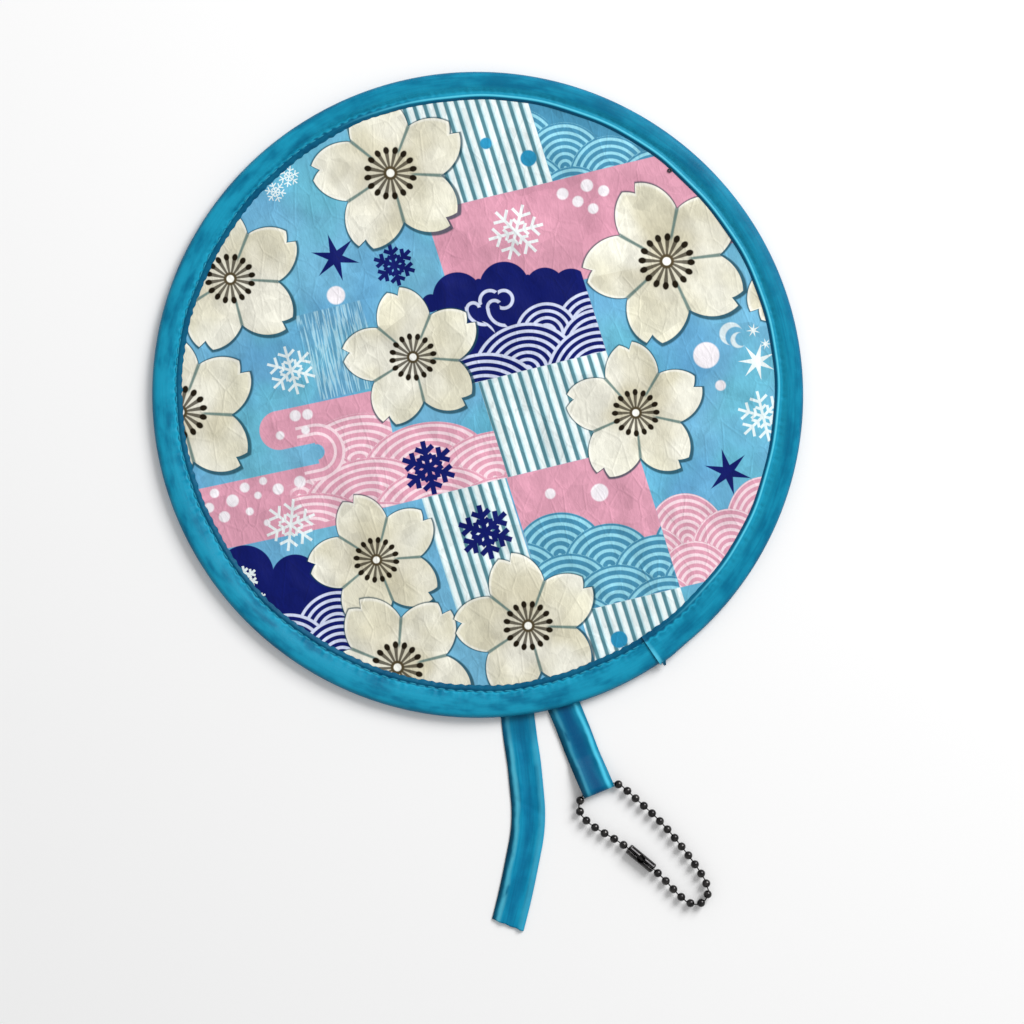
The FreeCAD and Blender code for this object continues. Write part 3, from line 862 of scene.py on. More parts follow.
    def paint_crinkle_shading(self) -> None:
        """Paints shade and highlight on the small facets and creases that crumpling leaves in the cloth."""
        # Painted shade on the crease lines, painted highlight on copies moved toward the light, and facets
        # painted lighter or darker cell by cell.
        factor = self.creases(self.coarse, 0.0) * -0.15 + self.creases(self.coarse, 0.45) * 0.13 + 1
        factor = factor + self.creases(self.fine, 0.0) * -0.07 + self.creases(self.fine, 0.3) * 0.07
        for scale, strength in self.facets:
            cells = self.tree.nodes.new("ShaderNodeTexVoronoi")
            cells.inputs["Scale"].default_value = scale
            self.tree.links.new(self.position, cells.inputs["Vector"])
            factor = factor + (Field(self.tree, cells.outputs["Color"]) - 0.5) * strength
        self.layers.shade(factor)

    def creases(self, scale: float, aside: float) -> Field:
        """Gives thin crease lines between the facets, for painted shade and, moved toward the light, painted
        highlight.

        Args:
            scale: Facets in a metre.
            aside: How far the lines are moved toward the upper right, where the light is, in millimetres.

        Returns:
            Their cover, which comes and goes along them.
        """
        moved = self.tree.nodes.new("ShaderNodeMapping")
        upward = scale * self.crease_stretch
        moved.inputs["Location"].default_value = (-0.8 * MM * aside * scale, -0.6 * MM * aside * upward, 0.0)
        moved.inputs["Rotation"].default_value = (0.0, 0.0, self.crease_turn)
        moved.inputs["Scale"].default_value = (scale, upward, 0.0)
        self.tree.links.new(self.position, moved.inputs["Vector"])
        cells = self.tree.nodes.new("ShaderNodeTexVoronoi")
        cells.feature = "DISTANCE_TO_EDGE"
        cells.inputs["Scale"].default_value = 1.0
        self.tree.links.new(moved.outputs[0], cells.inputs["Vector"])
        line = (self.crease_half - Field(self.tree, cells.outputs["Distance"])).cover(0.06)
        return line * (self.noise(60.0) - 0.42).cover(0.3)


@dataclass(frozen=True)
class Finish:
    """A finish: the material's name and the slot of the record that it stands for."""

    name: str
    slot: str

    def material(self) -> bpy.types.Material:
        """Gives the finish's material, which is made once.

        Returns:
            The material.
        """
        known = bpy.data.materials.get(self.name)
        if known:
            return known
        made = bpy.data.materials.new(self.name)
        made.use_nodes = True
        self.draw(made.node_tree, made.node_tree.nodes["Principled BSDF"])
        return made

    def draw(self, tree: Tree, shader: Node) -> None:
        """Draws the finish.

        Args:
            tree: The material's nodes.
            shader: Its shader.
        """
        raise NotImplementedError


@dataclass(frozen=True)
class PrintedCloth(Finish):
    """Crinkled cloth with the print, paler on the back where the ink shows through."""

    paleness: float = 0.0
    pale: Colour = screen(236, 238, 236)
    fibre_scale: float = 1400.0
    fibre_stretch: Triple = (1.0, 0.35, 1.0)
    specular: float = 0.09
    bump: float = 0.09

    def draw(self, tree: Tree, shader: Node) -> None:
        """Draws the cloth.

        Args:
            tree: The material's nodes.
            shader: Its shader.
        """
        inks = bpy.data.node_groups.get("fan_print")
        if inks is None:
            inks = bpy.data.node_groups.new("fan_print", "ShaderNodeTree")
            inks.interface.new_socket("Colour", in_out="OUTPUT", socket_type="NodeSocketColor")
            colour = FanPrint(inks).draw()
            inks.links.new(colour, inks.nodes.new("NodeGroupOutput").inputs[0])
        inked = tree.nodes.new("ShaderNodeGroup")
        inked.node_tree = inks
        place = surface_place(tree)
        fibres = add_noise(tree, place, self.fibre_scale, self.fibre_stretch, 4.0)
        layers = Layers(tree, inked.outputs[0])
        layers.shade((fibres - 0.5) * 0.3 + 1)
        if self.paleness:
            layers.lay((fibres - 0.5) * 0.1 + self.paleness, self.pale)
        dress(shader, layers, fibres * 0.16 + 0.5)
        shader.inputs["Specular IOR Level"].default_value = self.specular
        add_bump(tree, fibres, self.bump, shader)


@dataclass(frozen=True)
class Band:
    """A painted line of shade or of sheen highlight along a tape: its place, colour and strength, and
    whether it is broken.
    """

    middle: float
    half: float
    colour: Colour
    strength: float
    patchy: bool = False


@dataclass(frozen=True)
class Satin(Finish):
    """Satin tape: smooth warp threads along it, with soft streaks, painted lines of shade and sheen
    highlight, and painted shade at its root.
    """

    colour: Colour = screen(0, 124, 160)
    deep: Colour = screen(0, 92, 130)
    pale: Colour = screen(30, 162, 196)
    bands: tuple[Band, ...] = ()
    root_shade: float = -20.0
    warp_pitch: float = 0.16
    streak_stretch: Triple = (0.06, 1.6, 1.0)
    cloud_scale: float = 0.16
    cloud_stretch: Triple = (0.55, 1.4, 1.0)
    crease_scale: float = 0.55
    crease_stretch: Triple = (1.0, 0.4, 1.0)
    specular: float = 0.12
    sheen: float = 0.04
    sheen_roughness: float = 0.35
    bump: float = 0.16

    def draw(self, tree: Tree, shader: Node) -> None:
        """Draws the satin.

        Args:
            tree: The material's nodes.
            shader: Its shader.
        """
        run = tree.nodes.new("ShaderNodeUVMap")
        run.uv_map = RUN_MAP
        parts = tree.nodes.new("ShaderNodeSeparateXYZ")
        tree.links.new(run.outputs[0], parts.inputs[0])
        along, across = Field(tree, parts.outputs[0]), Field(tree, parts.outputs[1])
        streaks = add_noise(tree, run.outputs[0], 1.0, self.streak_stretch)
        clouds = add_noise(tree, run.outputs[0], self.cloud_scale, self.cloud_stretch)
        layers = start_layers(tree, self.colour)
        layers.lay((clouds - 0.53).cover(0.3) * 0.4, self.pale)
        layers.lay((0.46 - clouds).cover(0.3) * 0.45, self.deep)
        layers.lay((0.45 - streaks).cover(0.3) * 0.35, self.deep)
        self.paint_light_lines(layers, along, across, clouds)
        dress(shader, layers, streaks * 0.2 + 0.28)
        shader.inputs["Specular IOR Level"].default_value = self.specular
        shader.inputs["Sheen Weight"].default_value = self.sheen
        shader.inputs["Sheen Roughness"].default_value = self.sheen_roughness
        shader.inputs["Sheen Tint"].default_value = (*self.pale, 1.0)
        warp = (across * (math.tau / self.warp_pitch)).math("SINE") * 0.5 + 0.5
        creases = add_noise(tree, run.outputs[0], self.crease_scale, self.crease_stretch, 4.0)
        add_bump(tree, warp * 0.1 + creases * 0.6, self.bump, shader)

    def paint_light_lines(self, layers: Layers, along: Field, across: Field, clouds: Field) -> None:
        """Paints lines of shade and sheen highlight along the tape, and shade over its root where the rim
        shades it.

        Args:
            layers: The colours so far.
            along: Distance along the tape.
            across: Distance across the tape.
            clouds: A soft noise that lets the lines waver.
        """
        place = across + (clouds - 0.5) * 1.6
        for band in self.bands:
            line = (band.half - abs(place - band.middle)).cover(1.8 * band.half)
            patchy = (clouds - 0.36).cover(0.2) if band.patchy else 1.0
            layers.lay(line * band.strength * patchy, band.colour)
        # Painted shadow of the rim across the tape's root.
        layers.lay((self.root_shade - along).cover(7.0) * 0.5, self.deep)


@dataclass(frozen=True)
class RimSatin(Satin):
    """The binding's satin, with painted shade and highlights: a dark seam shadow on one side of the fan, a
    bright lip highlight on the other.
    """

    reach: float = 100.0
    scallop: float = 0.3
    lip_band: float = 5.4
    seam_shadow: float = 2.2
    seam_ridge: float = 2.7
    lip_shine: float = 1.5
    lip_shadow: float = 1.0
    lap_shine: float = 1.1
    lap_shadow: float = 6.0
    under_rim_shade: Pair = (10.2, 11.2)
    # Colours of the painted highlight and the painted shadow.
    shine: Colour = screen(104, 220, 246)
    darkest: Colour = screen(0, 64, 102)

    def paint_light_lines(self, layers: Layers, along: Field, across: Field, clouds: Field) -> None:
        """Paints the shade and highlights of the seam, the lip, the lap and the rim's outer edge.

        Args:
            layers: The colours so far.
            along: Distance along the tape.
            across: Distance across the tape, from its inner edge.
            clouds: A soft noise that lets the lines waver.
        """
        turn = along / self.reach + SEAM_ANGLE
        facing = (turn - SEWN_SIDE).math("COSINE")
        sewn = (facing + 0.3).cover(0.5)
        smooth = 1 - sewn
        seam = across - (turn * STITCHES).math("COSINE") * self.scallop - (clouds - 0.5) * 1.2
        # Painted light: the half of the rim toward the sewn side is made lighter, in patches.
        layers.lay((clouds - 0.44).cover(0.3) * (facing + 0.2).cover(1.0) * 0.5, self.pale)
        # Painted light on the smooth side's inward slope, lifting the shade that the lamp leaves there.
        layers.lay(smooth * (self.lip_band - across).cover(3.0) * 0.65, self.pale)
        # Painted shadow along the seam, scalloped at the stitches.
        layers.lay(sewn * (self.seam_shadow - seam).cover(0.8) * 0.75, self.darkest)
        # Painted highlight along the ridge beside the seam.
        ridge = sewn * (0.3 - abs(seam - self.seam_ridge)).cover(0.6)
        layers.lay(ridge * (clouds - 0.35).cover(0.3) * 0.8, self.pale)
        # Painted highlight on the smooth side's lip, with painted shadow inside it.
        layers.lay(smooth * (0.24 - abs(across - self.lip_shine)).cover(0.5) * 0.85, self.shine)
        layers.lay(smooth * (self.lip_shadow - across).cover(0.4) * 0.85, self.darkest)
        # Painted highlight on the lap's cut end, and painted shadow on the tape beside it.
        layers.lay((self.lap_shine - along).cover(0.9) * (across - 5.0).cover(9.0) * 0.5, self.shine)
        layers.lay((along + self.lap_shadow - self.reach * math.tau).cover(5.0) * 0.5, self.darkest)
        # Painted shade toward the rim's outer edge and round its back.
        layers.lay((across - self.under_rim_shade[0]).cover(1.8) * 0.5, self.deep)
        layers.lay((across - self.under_rim_shade[1]).cover(1.0) * 0.6, self.darkest)


@dataclass(frozen=True)
class FramePlain(Finish):
    """The plain material that the frame gives the node of this name."""

    def material(self) -> bpy.types.Material:
        """Gives the node's own material."""
        return frame["nodes"][self.name].data.materials[0]


@dataclass(frozen=True)
class DarkThread(Finish):
    """The dark, twisted thread of the knot."""

    colour: Colour = screen(6, 18, 30)
    pale: Colour = screen(20, 40, 56)
    fuzz_scale: float = 5200.0
    sheen: float = 0.2
    bump: float = 0.06

    def draw(self, tree: Tree, shader: Node) -> None:
        """Draws the thread.

        Args:
            tree: The material's nodes.
            shader: Its shader.
        """
        place = surface_place(tree)
        fuzz = add_noise(tree, place, self.fuzz_scale)
        layers = start_layers(tree, self.colour)
        layers.lay((fuzz - 0.5).cover(0.3) * 0.7, self.pale)
        dress(shader, layers, fuzz * 0.3 + 0.4)
        shader.inputs["Sheen Weight"].default_value = self.sheen
        add_bump(tree, fuzz, self.bump, shader)


@dataclass(frozen=True)
class PlatedMetal(Finish):
    """Plated metal with fine wear."""

    colour: Colour = screen(52, 51, 52)
    worn: Colour = screen(128, 126, 122)
    roughness: float = 0.22
    wear: float = 0.25
    wear_scale: float = 650.0
    grain_scale: float = 9000.0
    bump: float = 0.008

    def draw(self, tree: Tree, shader: Node) -> None:
        """Draws the metal.

        Args:
            tree: The material's nodes.
            shader: Its shader.
        """
        place = surface_place(tree)
        rubbed = add_noise(tree, place, self.wear_scale, detail=2.0)
        grain = add_noise(tree, place, self.grain_scale)
        layers = start_layers(tree, self.colour)
        layers.lay((rubbed - 0.56).cover(0.3) * self.wear, self.worn)
        dress(shader, layers, rubbed * 0.14 + (self.roughness - 0.07))
        shader.inputs["Metallic"].default_value = 1.0
        add_bump(tree, grain, self.bump, shader)


@dataclass(frozen=True)
class Floor(Finish):
    """The pale floor of the studio."""

    colour: Colour = (0.95, 0.95, 0.95)
    pale: Colour = (0.98, 0.98, 0.98)
    mottle_scale: float = 6.0
    roughness: float = 0.9

    def draw(self, tree: Tree, shader: Node) -> None:
        """Draws the floor.

        Args:
            tree: The material's nodes.
            shader: Its shader.
        """
        place = surface_place(tree)
        mottle = add_noise(tree, place, self.mottle_scale)
        layers = start_layers(tree, self.colour)
        layers.lay(mottle * 0.1, self.pale)
        tree.links.new(layers.colour, shader.inputs["Base Color"])
        shader.inputs["Roughness"].default_value = self.roughness


WAVES = WaveGroup()
SNOWFLAKES = SnowflakeGroup()
STARS = StarGroup()
BLOSSOMS = BlossomGroup()

PRINT_FRONT = PrintedCloth("printed_cloth_front", "printed_cloth")
PRINT_BACK = PrintedCloth("printed_cloth_back", "printed_cloth", paleness=0.42)
RIM_SATIN = RimSatin("rim_satin", "satin_tape")
# Colours of the painted sheen highlights and painted shade laid in bands along the tails' satin.
PALE_PAINTED_SHEEN, BRIGHT_PAINTED_SHEEN = screen(86, 190, 216), screen(84, 214, 246)
DEEP_PAINTED_SHADE, DARK_PAINTED_SHADE = screen(0, 76, 124), screen(0, 50, 72)
TIE_SATIN = Satin("tie_satin", "satin_tape", screen(4, 142, 184), bands=(
    Band(-5.2, 1.4, DARK_PAINTED_SHADE, 0.9),
    Band(-3.2, 0.6, PALE_PAINTED_SHEEN, 0.8, True),
    Band(0.2, 1.5, DEEP_PAINTED_SHADE, 0.4, True),
    Band(4.2, 0.8, PALE_PAINTED_SHEEN, 0.35),
), root_shade=6.5)
TAB_SATIN = Satin("tab_satin", "satin_tape", bands=(
    Band(-5.0, 1.5, DARK_PAINTED_SHADE, 0.9),
    Band(-2.9, 0.5, PALE_PAINTED_SHEEN, 0.5, True),
    Band(-0.1, 2.2, DEEP_PAINTED_SHADE, 0.85),
    Band(3.7, 0.5, BRIGHT_PAINTED_SHEEN, 0.85),
))
SEAM_THREAD = FramePlain("seam_thread", "sewing_thread")
KNOT_THREAD = DarkThread("knot_thread", "sewing_thread")
BLACK_NICKEL = PlatedMetal("black_nickel", "dark_metal")
FLOOR = Floor("studio_floor", "")


class Shell:
    """Points and faces gathered into one mesh."""

    def __init__(self) -> None:
        """Starts empty."""
        self.points: list[Array] = []
        self.faces: list[tuple[int, ...]] = []
        self.runs: list[Array] = []
        self.count = 0

    def add(self, points: Array, faces: Sequence[Sequence[int]], runs: Array | None = None) -> None:
        """Adds points with their faces.

        Args:
            points: Places in millimetres, one row each.
            faces: Indices into those rows.
            runs: The points' places on the tape, along and across.
        """
        self.faces.extend(tuple(corner + self.count for corner in face) for face in faces)
        self.points.append(points)
        self.runs.append(np.zeros((len(points), 2)) if runs is None else runs)
        self.count += len(points)

    def piece(self, name: str, finish: Finish, smooth: bool = True) -> Piece:
        """Makes the gathered mesh an object.

        Args:
            name: The piece's name.
            finish: Its finish.
            smooth: Whether its faces are shaded smooth.

        Returns:
            The object.
        """
        mesh = bpy.data.meshes.new(name)
        mesh.from_pydata((np.concatenate(self.points) * MM).tolist(), [], self.faces)
        work = bmesh.new()
        work.from_mesh(mesh)
        bmesh.ops.recalc_face_normals(work, faces=work.faces)
        work.to_mesh(mesh)
        work.free()
        mesh.polygons.foreach_set("use_smooth", [smooth] * len(mesh.polygons))
        run_map = mesh.uv_layers.new(name=RUN_MAP)
        corners = np.zeros(len(mesh.loops), dtype=np.int32)
        mesh.loops.foreach_get("vertex_index", corners)
        run_map.data.foreach_set("uv", np.concatenate(self.runs)[corners].astype(np.float32).ravel())
        mesh.materials.append(finish.material())
        made = bpy.data.objects.new(name, mesh)
        bpy.context.scene.collection.objects.link(made)
        return made


def grid_faces(rows: int, columns: int, closed: bool = False) -> Faces:
    """Gives the faces of a grid of points.

    Args:
        rows: Rows of points.
        columns: Points in a row.
        closed: Whether each row runs round to its first point.

    Returns:
        The faces, as indices into the points row by row.
    """
    faces = []
    for row in range(rows - 1):
        for column in range(columns if closed else columns - 1):
            follower = (column + 1) % columns
            low, high = row * columns, (row + 1) * columns
            faces.append((low + column, low + follower, high + follower, high + column))
    return faces


def flat_sleeve(upper: Array, lower: Array) -> tuple[Array, Faces]:
    """Joins the two sides of a strip into a closed, flat sleeve.

    Args:
        upper: Points of the upper side, by row and column.
        lower: Points of the lower side, in the same order.

    Returns:
        The sleeve's points and faces.
    """
    loops = np.concatenate((upper, lower[:, ::-1]), axis=1)
    rows, columns = loops.shape[:2]
    faces = grid_faces(rows, columns, closed=True)
    for start in (0, (rows - 1) * columns):
        for place in range(columns // 2 - 1):
            across = columns - 1 - place
            faces.append((start + place, start + place + 1, start + across - 1, start + across))
    return loops.reshape(-1, 3), faces


def sleeve_runs(along: Array, across: Array) -> Array:
    """Gives the places on the tape of a sleeve's points, from those of its upper side."""
    loops = [np.concatenate((part, part[:, ::-1]), axis=1) for part in (along, across)]
    return np.stack(loops, axis=-1).reshape(-1, 2)


def unit(vectors: Array) -> Array:
    """Gives vectors the length 1."""
    return vectors / np.linalg.norm(vectors, axis=-1, keepdims=True)


def across_axis(axis: Array) -> tuple[Array, Array]:
    """Gives the level direction across an axis, and the one across both."""
    level = unit(np.cross(axis, UPWARD))
    return level, np.cross(level, axis)


def tube(line: Array, radii: Array, sides: int) -> tuple[Array, Faces]:
    """Gives a round tube along a line.

    Args:
        line: Points of the line.
        radii: The tube's radius at each point.
        sides: Faces round the tube.

    Returns:
        The tube's points and faces.
    """
    level, upright = across_axis(unit(np.gradient(line, axis=0)))
    turn = np.arange(sides) * math.tau / sides
    reach = radii[:, None, None]
    rings = (
        line[:, None, :]
        + reach * np.cos(turn)[None, :, None] * level[:, None, :]
        + reach * np.sin(turn)[None, :, None] * upright[:, None, :]
    )
    faces = grid_faces(len(line), sides, closed=True)
    faces.append(tuple(range(sides)))
    faces.append(tuple((len(line) - 1) * sides + side for side in range(sides)))
    return rings.reshape(-1, 3), faces


def window(value: Array, start: float, stop: float) -> Array:
    """Gives a smooth rise from 0 at the start to 1 at the stop."""
    share = np.clip((value - start) / (stop - start), 0.0, 1.0)
    return share * share * (3 - 2 * share)


def bell(value: Array, middle: Array | float, half: float) -> Array:
    """Gives a smooth bump of height 1 about a middle."""
    return np.exp(-(((value - middle) / half) ** 2))


def run_lengths(line: Array) -> Array:
    """Gives the distance along a line at each of its points."""
    return np.cumsum(np.linalg.norm(np.diff(line, axis=0, prepend=line[:1]), axis=-1))


def ring_points(radius: Array, angles: Array, height: Array) -> Array:
    """Gives places from their radius, their angle round the fan and their height."""
    return np.stack((radius * np.cos(angles), radius * np.sin(angles), height), axis=-1)


def tape_shares(columns: int) -> Array:
    """Gives places across a tape, from -1 to 1, closer together at its edges."""
    return np.sin(np.linspace(-math.pi / 2, math.pi / 2, columns))


def rolled_edges(share: Array) -> Array:
    """Gives the fall of a tape's height toward its two edges."""
    return np.sqrt(np.clip(1 - share**8, 0.0, 1.0))


@dataclass
class Hinge:
    """The line that a tail folds over, read from the frame."""

    joint: str
    place: Array = field(init=False)
    outward: Array = field(init=False)
    sideways: Array = field(init=False)

    def __post_init__(self) -> None:
        """Finds the joint's place and the tail's directions."""
        found = next(item for item in frame["joints"] if item["name"] == self.joint)
        axis = np.array(found["axis"])
        self.place = np.array(found["pos_m"]) / MM
        self.outward = np.array((-axis[1], axis[0], 0.0))
        self.sideways = -axis

    def local(self, points: Array) -> tuple[Array, Array]:
        """Gives the distances of places from the hinge, outwards and sideways."""
        offset = points - self.place
        return offset @ self.outward, offset @ self.sideways

    def world(self, outward: Array, sideways: Array, height: Array) -> Array:
        """Gives places in the frame.

        Args:
            outward: Distances from the hinge along the tail.
            sideways: Distances across it.
            height: Heights over the rim's back.

        Returns:
            The places, with a last axis of three.
        """
        base = np.array((self.place[0], self.place[1], 0.0))
        flat = base + outward[..., None] * self.outward + sideways[..., None] * self.sideways
        return flat + height[..., None] * UPWARD

    def blend(self, piece: Piece, reach: float) -> None:
        """Bakes a tail's place into its mesh; the ends of a bend over the hinge are worked out, but the tail
        is not bent.

        Args:
            piece: The tail.
            reach: Distance from the hinge to each end of the bend.
        """
        start = Vector((self.place - self.outward * reach) * MM)
        end = Vector((self.place + self.outward * reach) * MM)
        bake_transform(piece)


TIE_HINGE = Hinge("tie_fold")
TAB_HINGE = Hinge("tab_fold")


@dataclass(frozen=True)
class RimShape:
    """How the sewn rim departs from a true ring: its lip wanders, and the hoop is a little oval."""

    lip_mean: float = 0.9
    lip_lean: float = 1.05
    lip_lean_side: float = math.radians(65)
    lip_oval: float = 0.5
    lip_oval_side: float = math.radians(165)
    lip_wavers: tuple[tuple[float, int, float], ...] = ((0.14, 7, 1.0), (0.1, 13, 4.0), (0.07, 29, 0.0))
    hoop_oval: float = 0.4
    hoop_oval_side: float = math.radians(160)
    hoop_lean: float = 0.2
    hoop_lean_side: float = math.radians(70)

    def lip_shift(self, angles: Array) -> Array:
        """Gives how far the lip lies outside its place.

        Args:
            angles: Places round the rim, in radians.

        Returns:
            The distances.
        """
        lean = self.lip_lean * np.cos(angles - self.lip_lean_side)
        oval = self.lip_oval * np.cos(2 * (angles - self.lip_oval_side))
        waver = sum(depth * np.sin(cycles * angles + start) for depth, cycles, start in self.lip_wavers)
        return self.lip_mean + lean + oval + waver

    def sewn(self, angles: Array) -> Array:
        """Gives where the seam draws the lip into scallops, as shares from 0 to 1."""
        return window(np.cos(angles - SEWN_SIDE), -0.5, 0.1)

    def hoop_shift(self, angles: Array) -> Array:
        """Gives how far the hoop lies outside its place."""
        oval = self.hoop_oval * np.cos(2 * (angles - self.hoop_oval_side))
        return oval + self.hoop_lean * (np.cos(angles - self.hoop_lean_side) - 1)


RIM_SHAPE = RimShape()


@dataclass
class Assembly:
    """A sub-assembly of the scene, with the pieces that it has made."""

    pieces: list[Piece] = field(default_factory=list, kw_only=True)

    def build(self) -> None:
        """Makes the pieces."""
        raise NotImplementedError


@dataclass
class PrintedPanel(Assembly):
    """The cloth disc, crumpled into small folds and flat where the binding grips it."""

    radius: float = 96.3
    thickness: float = 0.16
    cells: int = 176
    flat_from: float = 93.5
    flat_rise: float = 9.0
    fold_count: int = 210
    fold_height: float = 0.55
    fold_lift: Pair = (0.25, 1.0)
    fold_aim: float = math.radians(75)
    fold_spread: float = 0.65
    fold_reach: Pair = (7.0, 26.0)
    fold_width: Pair = (1.2, 4.0)
    fold_curve: float = 0.02
    hollows: tuple[tuple[int, float], ...] = ((150, 0.55), (520, 0.32), (1500, 0.15))
    hollow_stretch: float = 0.75
    highest: float = 0.9
    back_slope: float = -0.2
    seed: int = 11

    def height(self, x: Array, y: Array) -> Array:
        """Gives the cloth's folds.

        Args:
            x: Places along X.
            y: Places along Y.

        Returns:
            Heights over the middle of the cloth.
        """
        chance = np.random.default_rng(self.seed)
        total = np.zeros_like(x)
        for _ in range(self.fold_count):
            middle = chance.uniform(-self.radius, self.radius, 2)
            aim = chance.normal(self.fold_aim, self.fold_spread)
            reach = chance.uniform(*self.fold_reach)
            width = chance.uniform(*self.fold_width)
            lift = chance.choice((-1.0, 1.0)) * chance.uniform(*self.fold_lift) * self.fold_height
            right, over = x - middle[0], y - middle[1]
            along = right * math.cos(aim) + over * math.sin(aim)
            aside = over * math.cos(aim) - right * math.sin(aim)
            aside = aside + self.fold_curve * chance.normal() * along * along / reach
            total += lift * np.exp(-np.abs(aside) / width) * np.exp(-((along / reach) ** 2) * 2)
        for count, lift in self.hollows:
            total += lift * self.facets(x, y, count, chance)
        total = np.tanh(total / self.highest) * self.highest
        return total * (1 - window(np.hypot(x, y), self.flat_from - self.flat_rise, self.flat_from))

    def facets(self, x: Array, y: Array, count: int, chance: np.random.Generator) -> Array:
        """Gives hollows between sharp ridges, as crumpling leaves them.

        Args:
            x: Places along X.
            y: Places along Y.
            count: How many hollows the panel has.
            chance: The source of their places.

        Returns:
            Heights, from about -1 in a hollow to 1 on a ridge.
        """
        middles = chance.uniform(-self.radius, self.radius, (count, 2))
        nearest = np.full(x.shape, 4 * self.radius)
        for middle in middles:
            nearest = np.minimum(nearest, np.hypot(x - middle[0], (y - middle[1]) * self.hollow_stretch))
        spacing = 2 * self.radius / math.sqrt(count)
        return np.clip(2.4 * (nearest / spacing) ** 1.3 - 0.9, -1.0, 1.2)

    def build(self) -> None:
        """Makes the cloth as two faces with a thin edge."""
        steps = np.linspace(-1.0, 1.0, self.cells + 1)
        across, up = np.meshgrid(steps, steps)
        x = across * np.sqrt(1 - up * up / 2) * self.radius
        y = up * np.sqrt(1 - across * across / 2) * self.radius
        z = RIM_MIDDLE + self.height(x, y)
        side = self.cells + 1
        front = np.stack((x, y, z + self.thickness / 2), axis=-1).reshape(-1, 3)
        back = np.stack((x, y, z - self.thickness / 2), axis=-1).reshape(-1, 3)
        faces = grid_faces(side, side)
        count = side * side
        shell = Shell()
        turned = [tuple(count + corner for corner in reversed(face)) for face in faces]
        shell.add(np.concatenate((front, back)), faces + turned)
        edge = [*range(side), *range(2 * side - 1, count, side)]
        edge += [*range(count - 2, count - side - 1, -1), *range(count - 2 * side, 0, -side)]
        ring = zip(edge, edge[1:] + edge[:1])
        shell.faces.extend((first, first + count, second + count, second) for first, second in ring)
        panel = shell.piece("crinkled_panel", PRINT_FRONT)
        panel.data.materials.append(PRINT_BACK.material())
        for face in panel.data.polygons:
            face.material_index = 1 if face.normal.z < self.back_slope else 0
        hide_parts("printed_panel")
        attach(panel, "fan")
        self.pieces.append(panel)


